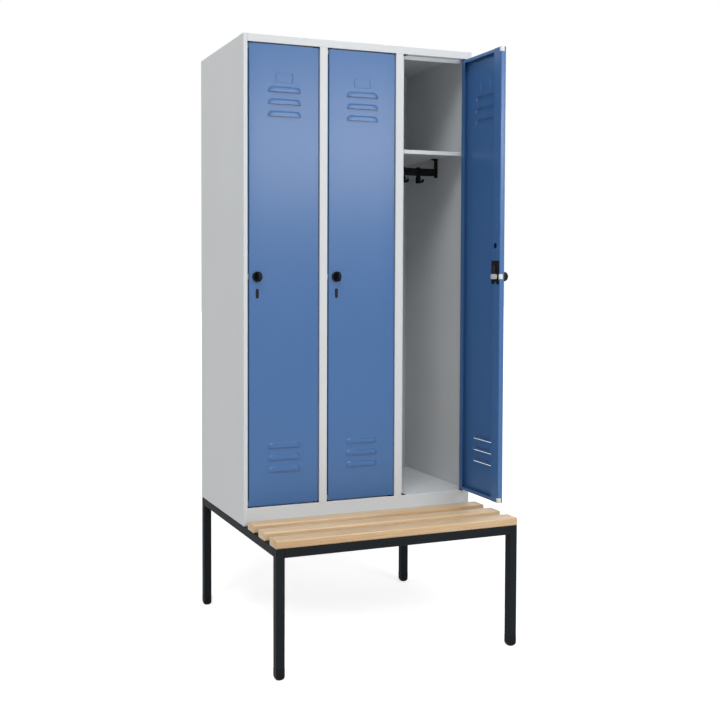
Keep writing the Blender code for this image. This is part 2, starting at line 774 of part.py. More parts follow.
def door_pattern():
    """Door pan: skin, folded edges, a closed channel on the lock side, louvres and holes."""
    middle = SHEET / 2
    free, hinged = FREE_EDGE, HINGE_EDGE_INSET
    inner = INNER_FACE - middle
    path = [
        (free + DOOR_LOCK_CHANNEL, inner),
        (free + middle, inner),
        (free + middle, OUTER_FACE + middle),
        (hinged - middle, OUTER_FACE + middle),
        (hinged - middle, inner),
        (hinged - DOOR_HINGE_RETURN, inner),
    ]
    door = prism("door", folded_sheet(path), "Z", 0.0, DOOR_HEIGHT)
    web = free + DOOR_LOCK_CHANNEL - SHEET
    joined = [box("web", (web - SHEET, OUTER_FACE + middle, middle), (web, inner, DOOR_HEIGHT - middle))]
    step = WELD_STEP
    edge = rectangle(free + step, OUTER_FACE + step, hinged - step, INNER_FACE - step)
    edge = rounded(edge, BEND_RADIUS + middle - step)
    front, back = INNER_FACE - SHEET + step, INNER_FACE - step
    start, end = web - middle, hinged - DOOR_HINGE_RETURN + SHEET
    for lower in (True, False):
        low = step if lower else DOOR_HEIGHT - step - SHEET
        joined.append(prism("end", edge, "Z", low, low + SHEET))
        low = middle if lower else DOOR_HEIGHT - DOOR_END_RETURN
        high = DOOR_END_RETURN if lower else DOOR_HEIGHT - middle
        joined.append(box("return", (start, front, low), (end, back, high)))
    hoods, hollows = door_louvres()
    combine(door, joined + hoods + [card_frame()], "UNION")
    pin = circle(0, 0, PIVOT_HOLE_RADIUS, PIN_STEPS)
    holes = [prism("pin", pin, "Z", -SHEET, DOOR_HEIGHT + SHEET)]
    spindle = circle(LATCH_X, LATCH_HEIGHT, SPINDLE_RADIUS + SPINDLE_CLEARANCE, PIN_STEPS)
    holes.append(prism("spindle", spindle, "Y", OUTER_FACE - SHEET, INNER_FACE + SHEET))
    spare = circle(LATCH_X, LATCH_HEIGHT + SPARE_HOLE_RISE, SPARE_HOLE_RADIUS, PIN_STEPS)
    holes.append(prism("spare", spare, "Y", front - SHEET, INNER_FACE + SHEET))
    slot = slot_outline(SLOT_RIM - SEAT_GAP)
    holes.append(prism("slot", slot, "Y", OUTER_FACE - SHEET, OUTER_FACE + 2 * SHEET))
    combine(door, hollows + holes, "DIFFERENCE")
    smooth(door)
    return door


def slot_outline(inset):
    """Upright slot with round ends under the latch."""
    half = SLOT_WIDTH / 2 - inset
    middle = LATCH_HEIGHT - SLOT_DROP
    reach = SLOT_LENGTH / 2 - inset
    corners = rectangle(LATCH_X - half, middle - reach, LATCH_X + half, middle + reach)
    return rounded(corners, half - WELD_STEP)


def insert_pattern():
    """Blanking insert: a thin rim outside the skin and a plug through it."""
    face = OUTER_FACE - SEAT_GAP
    item = prism("insert", slot_outline(0.0), "Y", face - SLOT_FACE, face)
    plug = prism("plug", slot_outline(SLOT_RIM), "Y", face - SLOT_FACE / 2, face + SLOT_PLUG)
    combine(item, [plug], "UNION")
    smooth(item)
    return item


def lock_plate_pattern():
    """Back plate of the latch, with an arched notch in its lower edge."""
    left = FREE_EDGE + LOCK_PLATE_EDGE_MARGIN
    right = left + LOCK_PLATE_WIDTH
    low = LATCH_HEIGHT - LOCK_PLATE_DROP
    start = INNER_FACE + SEAT_GAP
    outline = rectangle(left, low, right, LATCH_HEIGHT + LOCK_PLATE_RISE)
    outline = rounded(outline, LOCK_PLATE_CORNER)
    item = prism("lock_plate", outline, "Y", start, start + LOCK_PLATE_THICKNESS)
    notch = circle((left + right) / 2, low, LOCK_PLATE_NOTCH_RADIUS, PIN_STEPS)
    hole = circle(LATCH_X, LATCH_HEIGHT, SPINDLE_RADIUS + SPINDLE_CLEARANCE, PIN_STEPS)
    cutters = [
        prism("cutter", shape, "Y", start - SHEET, start + LOCK_PLATE_THICKNESS + SHEET)
        for shape in (notch, hole)
    ]
    combine(item, cutters, "DIFFERENCE")
    smooth(item)
    return item


def knob_pattern():
    """Knob in latch coordinates: round disc, upright fin with a half-round edge, spindle behind."""
    face = -SEAT_GAP
    rim = face - KNOB_DISC
    profile = [(KNOB_RADIUS, face), (KNOB_RADIUS, rim + KNOB_EDGE)]
    for step in range(1, BEND_STEPS + 1):
        angle = math.pi / 2 * step / BEND_STEPS
        reach = KNOB_RADIUS - KNOB_EDGE * (1 - math.cos(angle))
        profile.append((reach, rim + KNOB_EDGE * (1 - math.sin(angle))))
    rings = []
    for radius, along in profile:
        rings.append([(x, along, z) for x, z in circle(0, 0, radius, KNOB_STEPS)])
    item = loft("knob", rings)
    shoulder = face - KNOB_PROJECTION + GRIP_LENGTH / 2
    half = GRIP_THICKNESS / 2
    flank = half - GRIP_EDGE
    rings = []
    for x, inset in ((-half, GRIP_EDGE), (-flank, 0), (flank, 0), (half, GRIP_EDGE)):
        reach = GRIP_LENGTH / 2 - inset
        ring = [(x, rim + KNOB_EDGE, reach)]
        for step in range(GRIP_STEPS + 1):
            angle = math.pi * step / GRIP_STEPS
            ring.append((x, shoulder - reach * math.sin(angle), reach * math.cos(angle)))
        ring.append((x, rim + KNOB_EDGE, -reach))
        rings.append(ring)
    grip = loft("grip", rings)
    end = TONGUE_FRONT - SEAT_GAP
    shank = circle(0, 0, SPINDLE_RADIUS, PIN_STEPS)
    spindle = prism("spindle", shank, "Y", face - KNOB_EDGE, end)
    combine(item, [grip, spindle], "UNION")
    smooth(item)
    return item


def cam_pattern():
    """Latch cam in latch coordinates: a tongue that stands up at rest, and a flat oblong hub."""
    half = TONGUE_WIDTH / 2
    outline = rounded(rectangle(-half, -TONGUE_TAIL, half, TONGUE_REACH), TONGUE_CORNER)
    hub_start = TONGUE_FRONT + TONGUE_THICKNESS
    item = prism("cam", outline, "Y", TONGUE_FRONT, hub_start)
    length, width = HUB_LENGTH / 2, HUB_WIDTH / 2
    outline = rectangle(-HUB_OFFSET - length, -width, length - HUB_OFFSET, width)
    outline = rounded(outline, HUB_CORNER)
    hub = prism("hub", outline, "Y", hub_start - TONGUE_THICKNESS / 2, hub_start + HUB_THICKNESS)
    combine(item, [hub], "UNION")
    smooth(item)
    return item


def build_doors():
    """Doors with their latches; the last one stands open."""
    patterns = {
        "door": (door_pattern(), DOOR_PAINT),
        "lock_plate": (lock_plate_pattern(), BLACK_PLASTIC),
        "slot_insert": (insert_pattern(), BLACK_PLASTIC),
    }
    latch_patterns = {
        "knob": (knob_pattern(), BLACK_PLASTIC),
        "cam": (cam_pattern(), BRIGHT_STEEL),
    }
    for bay in range(BAY_COUNT):
        angle = OPEN_DOOR_ANGLE if bay == BAY_COUNT - 1 else 0.0
        hinge = axis_empty(f"hinge_axis_{bay + 1}", (hinge_x(bay), HINGE_Y, DOOR_BOTTOM), angle)
        latch = axis_empty(
            f"latch_axis_{bay + 1}", (LATCH_X, OUTER_FACE, LATCH_HEIGHT), parent=hinge
        )
        for group, parent in ((patterns, hinge), (latch_patterns, latch)):
            for name, (pattern, finish) in group.items():
                item = copy_of(pattern, f"{name}_{bay + 1}")
                item.parent = parent
                paint(item, finish)
    for pattern, _ in (*patterns.values(), *latch_patterns.values()):
        bpy.data.objects.remove(pattern)


for old in list(bpy.data.objects):
    bpy.data.objects.remove(old, do_unlink=True)
build_stand()
build_feet()
build_bench()
build_sides()
build_dividers()
build_roof()
build_floor()
build_back()
build_shelves()
build_rails()
build_hooks()
build_pivots()
build_doors()
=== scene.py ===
import math

import bmesh
import bpy
from mathutils import Matrix, Vector


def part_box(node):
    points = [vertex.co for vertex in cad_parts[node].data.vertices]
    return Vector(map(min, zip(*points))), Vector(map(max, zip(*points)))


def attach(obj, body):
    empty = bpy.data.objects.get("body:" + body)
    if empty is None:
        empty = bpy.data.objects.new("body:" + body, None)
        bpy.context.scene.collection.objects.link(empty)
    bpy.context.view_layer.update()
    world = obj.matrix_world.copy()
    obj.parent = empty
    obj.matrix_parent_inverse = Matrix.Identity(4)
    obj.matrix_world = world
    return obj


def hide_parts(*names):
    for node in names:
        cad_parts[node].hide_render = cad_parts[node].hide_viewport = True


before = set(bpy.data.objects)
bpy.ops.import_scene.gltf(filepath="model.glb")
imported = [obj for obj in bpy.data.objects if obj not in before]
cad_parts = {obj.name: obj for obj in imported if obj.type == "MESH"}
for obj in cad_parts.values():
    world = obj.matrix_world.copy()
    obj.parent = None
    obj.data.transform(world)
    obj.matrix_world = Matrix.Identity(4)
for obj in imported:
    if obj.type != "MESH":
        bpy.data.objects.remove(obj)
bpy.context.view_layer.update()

scene = bpy.context.scene

# Viewpoint: a camera at chest height, in front of the locker and a little to its left. It looks
# almost level, and the lens shift puts the object in the middle.
viewpoint = bpy.data.cameras.new("viewpoint")
viewpoint.sensor_width = 36.0
viewpoint.lens = 50.086
viewpoint.shift_x = 0.1392
viewpoint.shift_y = -0.07
camera = bpy.data.objects.new("viewpoint", viewpoint)
camera.location = (-1.585, -3.3499, 1.302)
camera.rotation_euler = (math.radians(90 - 2.048), 0.0, math.radians(-20.135))
scene.collection.objects.link(camera)
scene.camera = camera

# Studio: a white floor that runs into a white surround, a long soft lamp in front on the right,
# one high up on the left, and weaker ones beside and above. The floor keeps a soft shadow.
scene.view_settings.view_transform = "Standard"


def add(tree, kind, inputs=None, **settings):
    """Node with its settings made, and each of its inputs linked or given a value."""
    node = tree.nodes.new(kind)
    for name, value in settings.items():
        setattr(node, name, value)
    for key, value in (inputs or {}).items():
        if isinstance(value, bpy.types.NodeSocket):
            tree.links.new(value, node.inputs[key])
        else:
            node.inputs[key].default_value = value
    return node


def seen_directly(tree, seen, other):
    """One value for what the eye, mirrors and glass see, and another for lighting."""
    path = add(tree, "ShaderNodeLightPath").outputs
    direct = path["Is Camera Ray"]
    for kind in ("Is Glossy Ray", "Is Transmission Ray"):
        either = {0: direct, 1: path[kind]}
        direct = add(tree, "ShaderNodeMath", either, operation="MAXIMUM").outputs[0]
    values = {"Value": direct, "To Min": other, "To Max": seen}
    return add(tree, "ShaderNodeMapRange", values).outputs[0]


surround = bpy.data.worlds.new("surround")
surround.use_nodes = True
scene.world = surround
sky = surround.node_tree
sky.nodes["Background"].inputs["Color"].default_value = (1.0, 1.0, 1.0, 1.0)
sky.links.new(seen_directly(sky, 1.0, 0.37), sky.nodes["Background"].inputs["Strength"])

floor_reach = 30.0
corner_signs = ((-1, -1), (1, -1), (1, 1), (-1, 1))
floor_corners = [(x * floor_reach, y * floor_reach, 0.0) for x, y in corner_signs]
floor_mesh = bpy.data.meshes.new("studio_floor")
floor_mesh.from_pydata(floor_corners, [], [(0, 1, 2, 3)])
studio_floor = bpy.data.objects.new("studio_floor", floor_mesh)
scene.collection.objects.link(studio_floor)
floor_paper = bpy.data.materials.new("floor_paper")
floor_paper.use_nodes = True
paper = floor_paper.node_tree
paper_surface = paper.nodes["Principled BSDF"]
paper_surface.inputs["Base Color"].default_value = (0.80, 0.80, 0.80, 1.0)
paper_surface.inputs["Roughness"].default_value = 1.0
paper_surface.inputs["Specular IOR Level"].default_value = 0.0
paper_surface.inputs["Emission Color"].default_value = (1.0, 1.0, 1.0, 1.0)
floor_point = add(paper, "ShaderNodeTexCoord").outputs["Object"]
distance = add(paper, "ShaderNodeVectorMath", {0: floor_point}, operation="LENGTH")
glow = {"From Min": 1.5, "From Max": 6.0, "To Min": 0.62, "To Max": 1.0}
glow["Value"] = distance.outputs["Value"]
far_off = add(paper, "ShaderNodeMapRange", glow).outputs[0]
paper.links.new(seen_directly(paper, far_off, 0.0), paper_surface.inputs["Emission Strength"])
floor_mesh.materials.append(floor_paper)

for lamp_name, place, aim, size, power in (
    ("long_lamp", (1.5, -3.9, 2.32), (0.0, -0.1, 1.6), (3.0, 0.6), 62.0),
    ("high_lamp", (-4.0, -5.6, 9.4), (0.0, 0.0, 0.9), (4.0, 4.0), 400.0),
    ("side_lamp", (-3.5, 0.4, 3.4), (-0.3, 0.0, 1.5), (2.0, 2.0), 25.0),
    ("top_lamp", (0.0, -2.2, 5.0), (0.0, 0.0, 1.0), (2.0, 2.0), 44.0),
):
    lamp = bpy.data.lights.new(lamp_name, "AREA")
    lamp.shape = "RECTANGLE"
    lamp.size, lamp.size_y = size
    lamp.energy = power
    lamp_object = bpy.data.objects.new(lamp_name, lamp)
    lamp_object.location = place
    lamp_object.rotation_euler = (Vector(aim) - Vector(place)).to_track_quat("-Z", "Y").to_euler()
    scene.collection.objects.link(lamp_object)

# Stand: square steel tube, welded at the corners and powder coated in anthracite. The coat is
# satin, with a fine peel, and takes a little dust on what faces up.


def group_tree(name, inputs):
    """Empty shader group with named inputs, and its input and output nodes."""
    tree = bpy.data.node_groups.new(name, "ShaderNodeTree")
    outputs = {"Color": "Color", "Roughness": "Float", "Normal": "Vector"}
    for direction, sockets in (("INPUT", inputs), ("OUTPUT", outputs)):
        for label, kind in sockets.items():
            tree.interface.new_socket(name=label, in_out=direction, socket_type=f"NodeSocket{kind}")
    return tree, tree.nodes.new("NodeGroupInput").outputs, tree.nodes.new("NodeGroupOutput").inputs


def noise(tree, vector, scale, detail=2.0, **more):
    """Fractal noise from 0 to 1."""
    values = {"Vector": vector, "Scale": scale, "Detail": detail, **more}
    return add(tree, "ShaderNodeTexNoise", values).outputs["Fac"]


def spread(tree, value, low, high, start=0.0, end=1.0):
    """Value brought from one range to another, and kept inside it."""
    values = {"Value": value, "From Min": low, "From Max": high, "To Min": start, "To Max": end}
    return add(tree, "ShaderNodeMapRange", values).outputs[0]


def reckoner(tree):
    """Maker of sums in one tree, from the operation and its values."""

    def reckon(operation, *values):
        numbered = dict(enumerate(values))
        return add(tree, "ShaderNodeMath", numbered, operation=operation).outputs[0]

    return reckon


def tinted(tree, blend, share, first, second):
    """Two colours mixed."""
    node = add(tree, "ShaderNodeMix", data_type="RGBA", blend_type=blend, clamp_factor=True)
    for index, value in ((0, share), (6, first), (7, second)):
        if isinstance(value, bpy.types.NodeSocket):
            tree.links.new(value, node.inputs[index])
        else:
            node.inputs[index].default_value = value
    return node.outputs[2]


def shaded(tree, colour, gain):
    """Colour times a value."""
    grey = add(tree, "ShaderNodeCombineXYZ", {0: gain, 1: gain, 2: gain}).outputs[0]
    return tinted(tree, "MULTIPLY", 1.0, colour, grey)


def stretched(tree, vector, scale):
    """Coordinates scaled along each axis."""
    return add(tree, "ShaderNodeMapping", {"Vector": vector, "Scale": scale}).outputs[0]


def facing_up(tree):
    """How far the surface faces up, from -1 to 1."""
    facing = add(tree, "ShaderNodeNewGeometry").outputs["Normal"]
    return add(tree, "ShaderNodeSeparateXYZ", {0: facing}).outputs["Z"]


def hand_out(tree, made, colour, rough, relief):
    """Link a group's outputs to its colour, its roughness and a bump with these values."""
    normal = add(tree, "ShaderNodeBump", relief).outputs[0]
    for label, result in (("Color", colour), ("Roughness", rough), ("Normal", normal)):
        tree.links.new(result, made[label])


def powder_coat():
    """Group for powder-coated steel: tone drift, orange peel, rub marks and dust on top."""
    measures = dict.fromkeys(("Drift", "Roughness", "Peel Scale", "Peel Depth", "Dust"), "Float")
    tree, given, made = group_tree("powder_coat", {"Paint": "Color", **measures})
    do = reckoner(tree)
    place = add(tree, "ShaderNodeTexCoord").outputs["Object"]
    upward = spread(tree, facing_up(tree), 0.6, 0.95)
    broad = noise(tree, place, 2.6, 3.0)
    drift = do("MULTIPLY", spread(tree, broad, 0.3, 0.7, -1.0, 1.0), given["Drift"])
    speck = spread(tree, noise(tree, place, 900.0, 1.0), 0.25, 0.75, -0.012, 0.012)
    colour = shaded(tree, given["Paint"], do("ADD", do("ADD", drift, speck), 1.0))
    settled = spread(tree, noise(tree, place, 14.0, 6.0), 0.38, 0.72)
    dust = do("MULTIPLY", do("MULTIPLY", upward, settled), given["Dust"])
    dust_tone = (0.46, 0.44, 0.41, 1.0)
    colour = tinted(tree, "MIX", dust, colour, dust_tone)
    upright_marks = stretched(tree, place, (1.0, 1.0, 0.14))
    rubbed = spread(tree, noise(tree, upright_marks, 34.0, 7.0, Distortion=0.6), 0.60, 0.78)
    rough = do("ADD", given["Roughness"], spread(tree, broad, 0.3, 0.7, -0.010, 0.010))
    rough = do("ADD", rough, do("MULTIPLY", rubbed, -0.006))
    rough = do("ADD", rough, do("MULTIPLY", dust, 0.5))
    peel = noise(tree, place, given["Peel Scale"])
    relief = {"Strength": 0.5, "Distance": given["Peel Depth"], "Height": peel}
    hand_out(tree, made, colour, rough, relief)
    return tree


def finish(name, group, values, shader):
    """Material whose colour, roughness and normal come from a group."""
    material = bpy.data.materials.new(name)
    material.use_nodes = True
    tree = material.node_tree
    surface = tree.nodes["Principled BSDF"]
    for key, value in shader.items():
        surface.inputs[key].default_value = value
    pattern = add(tree, "ShaderNodeGroup", node_tree=group)
    for key, value in values.items():
        pattern.inputs[key].default_value = value
    for key, target in (("Color", "Base Color"), ("Roughness", "Roughness"), ("Normal", "Normal")):
        tree.links.new(pattern.outputs[key], surface.inputs[target])
    return material


def dress(nodes, material):
    """Give the solids that are kept as they are their material."""
    for node in nodes:
        for material_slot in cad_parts[node].material_slots:
            material_slot.material = material


coat = powder_coat()
anthracite = finish(
    "anthracite_coat",
    coat,
    {
        "Paint": (0.0152, 0.0184, 0.0212, 1.0),
        "Drift": 0.08,
        "Roughness": 0.50,
        "Peel Scale": 750.0,
        "Peel Depth": 0.00010,
        "Dust": 0.03,
    },
    {"Specular IOR Level": 0.03},
)
ends = [f"{end}_{side}" for end in ("front", "rear") for side in ("left", "right")]
dress([f"leg_{end}" for end in ends], anthracite)
dress(["rail_front", "rail_rear", "rail_left", "rail_right", "cross_rail"], anthracite)

# Feet: rounded blocks of black plastic, as wide as the tube, each held in the end of its leg by a
# plug. Their sides are finely grained, and a little scuffed from standing on the floor.


def moulded_plastic():
    """Group for moulded plastic: spark-eroded grain, tone drift and dull rub marks."""
    measures = dict.fromkeys(("Roughness", "Grain Scale", "Grain Depth", "Rub"), "Float")
    tree, given, made = group_tree("moulded_plastic", {"Tone": "Color", **measures})
    do = reckoner(tree)
    place = add(tree, "ShaderNodeTexCoord").outputs["Object"]
    broad = noise(tree, place, 22.0, 4.0)
    scuffs = spread(tree, noise(tree, place, 90.0, 6.0, Distortion=1.2), 0.55, 0.75)
    rubbed = do("MULTIPLY", scuffs, given["Rub"])
    colour = shaded(tree, given["Tone"], spread(tree, broad, 0.3, 0.7, 0.85, 1.15))
    rubbed_tone = (0.16, 0.16, 0.16, 1.0)
    colour = tinted(tree, "MIX", rubbed, colour, rubbed_tone)
    rough = do("ADD", given["Roughness"], spread(tree, broad, 0.3, 0.7, -0.05, 0.05))
    rough = do("ADD", rough, rubbed)
    grain = noise(tree, place, given["Grain Scale"], 3.0)
    relief = {"Strength": 0.6, "Distance": given["Grain Depth"], "Height": grain}
    hand_out(tree, made, colour, rough, relief)
    return tree


moulded = moulded_plastic()
black_plastic = finish(
    "black_plastic",
    moulded,
    {
        "Tone": (0.0118, 0.0126, 0.0138, 1.0),
        "Roughness": 0.50,
        "Grain Scale": 1400.0,
        "Grain Depth": 0.00008,
        "Rub": 0.02,
    },
    {"Specular IOR Level": 0.04},
)


def piece(name, mesh, body, stands_for=(), material=None):
    """Object for a finished mesh, which rides on a body and may stand for some nodes."""
    item = bpy.data.objects.new(name, mesh)
    scene.collection.objects.link(item)
    if material:
        mesh.materials.clear()
        mesh.materials.append(material)
    if stands_for:
        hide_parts(*stands_for)
    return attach(item, body)


def smoothed(mesh, degrees=40.0):
    """The mesh shaded smoothly over all but its sharp edges."""
    mesh.shade_smooth()
    mesh.set_sharp_from_angle(angle=math.radians(degrees))
    return mesh


# The blocks are a little squarer at the floor than the solids, whose edge is drawn in by 9 mm
# over a height of 21 mm.
solid_rounding, solid_inset = 0.021, 0.009
rounding_share, inset_share = 0.68, 0.80
for end in ends:
    foot_low, foot_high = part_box(f"foot_{end}")
    middle, half_foot = (foot_low + foot_high) / 2, (foot_high.x - foot_low.x) / 2
    foot_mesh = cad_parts[f"foot_{end}"].data.copy()
    for vertex in foot_mesh.vertices:
        if vertex.co.z < solid_rounding + 0.0001:
            below_edge = max(1 - vertex.co.z / solid_rounding, 0.0)
            inset = solid_inset * (1 - math.sin(math.acos(below_edge)))
            scale = (half_foot - inset_share * inset) / (half_foot - inset)
            vertex.co.x = middle.x + (vertex.co.x - middle.x) * scale
            vertex.co.y = middle.y + (vertex.co.y - middle.y) * scale
            vertex.co.z *= rounding_share
    block = smoothed(foot_mesh)
    piece(f"foot_block_{end}", block, "locker", [f"foot_{end}"], black_plastic)

# Bench slats: three boards of clear-lacquered beech, planed with rounded edges and screwed to
# the stand from below. They are made along a line, from one board's section.


def geometry_tree(name, inputs):
    """Empty geometry tree with named inputs, and its input and output nodes."""
    tree = bpy.data.node_groups.new(name, "GeometryNodeTree")
    for label, kind in inputs.items():
        tree.interface.new_socket(name=label, in_out="INPUT", socket_type=f"NodeSocket{kind}")
    tree.interface.new_socket(name="Geometry", in_out="OUTPUT", socket_type="NodeSocketGeometry")
    return tree, tree.nodes.new("NodeGroupInput").outputs, tree.nodes.new("NodeGroupOutput").inputs


def close_tree(tree, shape, material, made):
    """Make the instances real, give them their material and hand the geometry out."""
    real = add(tree, "GeometryNodeRealizeInstances", {"Geometry": shape.outputs[0]})
    painting = {"Geometry": real.outputs[0], "Material": material}
    painted = add(tree, "GeometryNodeSetMaterial", painting)
    tree.links.new(painted.outputs[0], made["Geometry"])


def grown(name, tree, values):
    """Plain mesh that a geometry tree makes with these values."""
    carrier = bpy.data.objects.new(name, bpy.data.meshes.new(name))
    scene.collection.objects.link(carrier)
    modifier = carrier.modifiers.new(name, "NODES")
    modifier.node_group = tree
    for item in tree.interface.items_tree:
        if item.item_type == "SOCKET" and item.in_out == "INPUT":
            modifier[item.identifier] = values[item.name]
    evaluated = carrier.evaluated_get(bpy.context.evaluated_depsgraph_get())
    mesh = bpy.data.meshes.new_from_object(evaluated)
    mesh.name = name
    modifier.node_group = None
    bpy.data.objects.remove(carrier)
    return mesh


def modified(mesh, kind, **settings):
    """Plain mesh that a modifier makes of this one."""
    item = bpy.data.objects.new(mesh.name, mesh)
    scene.collection.objects.link(item)
    modifier = item.modifiers.new(kind, kind)
    for name, value in settings.items():
        setattr(modifier, name, value)
    evaluated = item.evaluated_get(bpy.context.evaluated_depsgraph_get())
    finished = bpy.data.meshes.new_from_object(evaluated)
    finished.name = mesh.name
    bpy.data.objects.remove(item)
    return finished


def rounded_off(mesh, width, steps):
    """The mesh with its sharp edges rounded."""
    limit = {"limit_method": "ANGLE", "angle_limit": math.radians(30.0)}
    return smoothed(modified(mesh, "BEVEL", width=width, segments=steps, **limit))


def beech_wood_and_painted_shade():
    """Group for beech: growth rings, fine fibre, short dark flecks, drift between boards, and
    painted shade that makes the sides darker and warmer than the tops.
    """
    tones = dict.fromkeys(("Pale", "Warm", "Fleck"), "Color")
    tree, given, made = group_tree("beech_wood_and_painted_shade", {**tones, "Board": "Float"})
    do = reckoner(tree)
    place = add(tree, "ShaderNodeTexCoord").outputs["Object"]

    # Each board is cut from another part of the tree, and its rings wander a little.
    board_step = {0: (0.37, 0.021, 0.017), "Scale": given["Board"]}
    shift = add(tree, "ShaderNodeVectorMath", board_step, operation="SCALE").outputs[0]
    moved = add(tree, "ShaderNodeVectorMath", {0: place, 1: shift}, operation="ADD").outputs[0]
    wander = {"Vector": stretched(tree, moved, (1.3, 9.0, 9.0)), "Scale": 1.0, "Detail": 2.0}
    bend = {0: add(tree, "ShaderNodeTexNoise", wander).outputs["Color"], "Scale": 0.016}
    bend = add(tree, "ShaderNodeVectorMath", bend, operation="SCALE").outputs[0]
    lying = add(tree, "ShaderNodeVectorMath", {0: moved, 1: bend}, operation="ADD").outputs[0]
    heartwood = {
        "Vector": lying,
        "Location": (0.0, 0.31, -0.33),
        "Rotation": (0.0, math.radians(0.7), math.radians(0.5)),
    }
    around_heart = add(tree, "ShaderNodeMapping", heartwood).outputs[0]
    waves = {"Vector": around_heart, "Scale": 42.0, "Distortion": 1.2, "Detail": 2.0}
    waves["Detail Scale"] = 1.5
    profile = {"wave_type": "RINGS", "rings_direction": "X", "wave_profile": "SAW"}
    rings = add(tree, "ShaderNodeTexWave", waves, **profile).outputs["Fac"]
    fibre = noise(tree, stretched(tree, moved, (7.0, 260.0, 260.0)), 1.0, 5.0)
    fleck = noise(tree, stretched(tree, moved, (95.0, 900.0, 900.0)), 1.0)
    fleck = spread(tree, fleck, 0.60, 0.72)
    broad = noise(tree, stretched(tree, moved, (2.2, 16.0, 16.0)), 1.0, 3.0)

    # Painted light: the boards' fronts and ends are shaded warmer and darker than their tops, which
    # are left paler as if lit from above and sheened.
    upward = facing_up(tree)
    share = do("MULTIPLY", rings, 0.34)
    share = do("ADD", share, spread(tree, fibre, 0.32, 0.68, -0.08, 0.34))
    share = do("ADD", share, spread(tree, broad, 0.3, 0.7, -0.22, 0.30))
    # Painted shade: the less a face looks up, the more of the warm tone it takes.
    share = do("ADD", share, spread(tree, upward, 0.2, 0.9, 0.34, 0.0))
    colour = tinted(tree, "MIX", share, given["Pale"], given["Warm"])
    colour = tinted(tree, "MIX", do("MULTIPLY", fleck, 0.42), colour, given["Fleck"])
    board_gain = do("MULTIPLY", do("SINE", do("MULTIPLY", given["Board"], 2.4)), 0.05)
    # Painted shade: faces that do not look up are made up to 9 % darker than the tops.
    gain = do("MULTIPLY", do("ADD", board_gain, 1.0), spread(tree, upward, 0.2, 0.9, 0.91, 1.0))
    rough = spread(tree, fibre, 0.3, 0.7, 0.36, 0.46)
    height = do("SUBTRACT", fibre, do("MULTIPLY", fleck, 0.6))
    relief = {"Strength": 0.35, "Distance": 0.00012, "Height": height}
    hand_out(tree, made, shaded(tree, colour, gain), rough, relief)
    return tree


beech = finish(
    "lacquered_beech",
    beech_wood_and_painted_shade(),
    {
        "Pale": (0.735, 0.545, 0.338, 1.0),
        "Warm": (0.550, 0.352, 0.182, 1.0),
        "Fleck": (0.235, 0.124, 0.058, 1.0),
    },
    {"Specular IOR Level": 0.35, "Coat Weight": 0.12, "Coat Roughness": 0.25},
)
board = add(beech.node_tree, "ShaderNodeAttribute", attribute_name="board")
beech_pattern = next(node for node in beech.node_tree.nodes if node.type == "GROUP")
beech.node_tree.links.new(board.outputs["Fac"], beech_pattern.inputs["Board"])

slat_measures = dict.fromkeys(("Length", "Width", "Thickness", "Edge", "Pitch"), "Float")
slat_inputs = {**slat_measures, "Count": "Int", "First": "Vector", "Wood": "Material"}
slats, given, made = geometry_tree("bench_slats", slat_inputs)
do = reckoner(slats)
size = {"Width": given["Width"], "Height": given["Thickness"]}
section = add(slats, "GeometryNodeCurvePrimitiveQuadrilateral", size)
fillet = {"Curve": section.outputs[0], "Radius": given["Edge"], "Count": 6}
section = add(slats, "GeometryNodeFilletCurve", fillet, mode="POLY")
half_length = do("MULTIPLY", given["Length"], 0.5)
left_end = add(slats, "ShaderNodeCombineXYZ", {"X": do("MULTIPLY", half_length, -1.0)})
right_end = add(slats, "ShaderNodeCombineXYZ", {"X": half_length})
line_ends = {"Start": left_end.outputs[0], "End": right_end.outputs[0]}
heart = add(slats, "GeometryNodeCurvePrimitiveLine", line_ends)
sweep = {"Curve": heart.outputs[0], "Profile Curve": section.outputs[0], "Fill Caps": True}
one_slat = add(slats, "GeometryNodeCurveToMesh", sweep)
step = add(slats, "ShaderNodeCombineXYZ", {"Y": given["Pitch"]})
spacing = {"Count": given["Count"], "Start Location": given["First"], "Offset": step.outputs[0]}
row = add(slats, "GeometryNodeMeshLine", spacing)
number = add(slats, "GeometryNodeInputIndex")
board_number = {"Geometry": row.outputs[0], "Name": "board", "Value": number.outputs[0]}
kind = {"data_type": "FLOAT", "domain": "POINT"}
counted = add(slats, "GeometryNodeStoreNamedAttribute", board_number, **kind)
laying = {"Points": counted.outputs[0], "Instance": one_slat.outputs[0]}
laid = add(slats, "GeometryNodeInstanceOnPoints", laying)
close_tree(slats, laid, given["Wood"], made)

slat_low, slat_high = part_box("slat_1")
next_low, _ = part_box("slat_2")
slat_size = slat_high - slat_low
slat_mesh = grown(
    "bench_slats",
    slats,
    {
        "Length": slat_size.x,
        "Width": slat_size.y,
        "Thickness": slat_size.z,
        "Edge": 0.005,
        "Pitch": next_low.y - slat_low.y,
        "Count": 3,
        "First": (slat_low + slat_high) / 2,
        "Wood": beech,
    },
)
slat_nodes = ["slat_1", "slat_2", "slat_3"]
piece("bench_slats", rounded_off(slat_mesh, 0.0012, 2), "locker", slat_nodes)

# Locker body: side panels folded round into the front stiles, dividers with hollow mullions,
# roof, floor and back, all of steel sheet, spot welded and powder coated in light grey.
light_grey = finish(
    "light_grey_coat",
    coat,
    {
        "Paint": (0.616, 0.634, 0.646, 1.0),
        "Drift": 0.018,
        "Roughness": 0.50,
        "Peel Scale": 620.0,
        "Peel Depth": 0.00012,
        "Dust": 0.08,
    },
    {"Specular IOR Level": 0.12},
)
dress(["side_left", "side_right", "divider_1", "divider_2", "roof", "floor", "back"], light_grey)

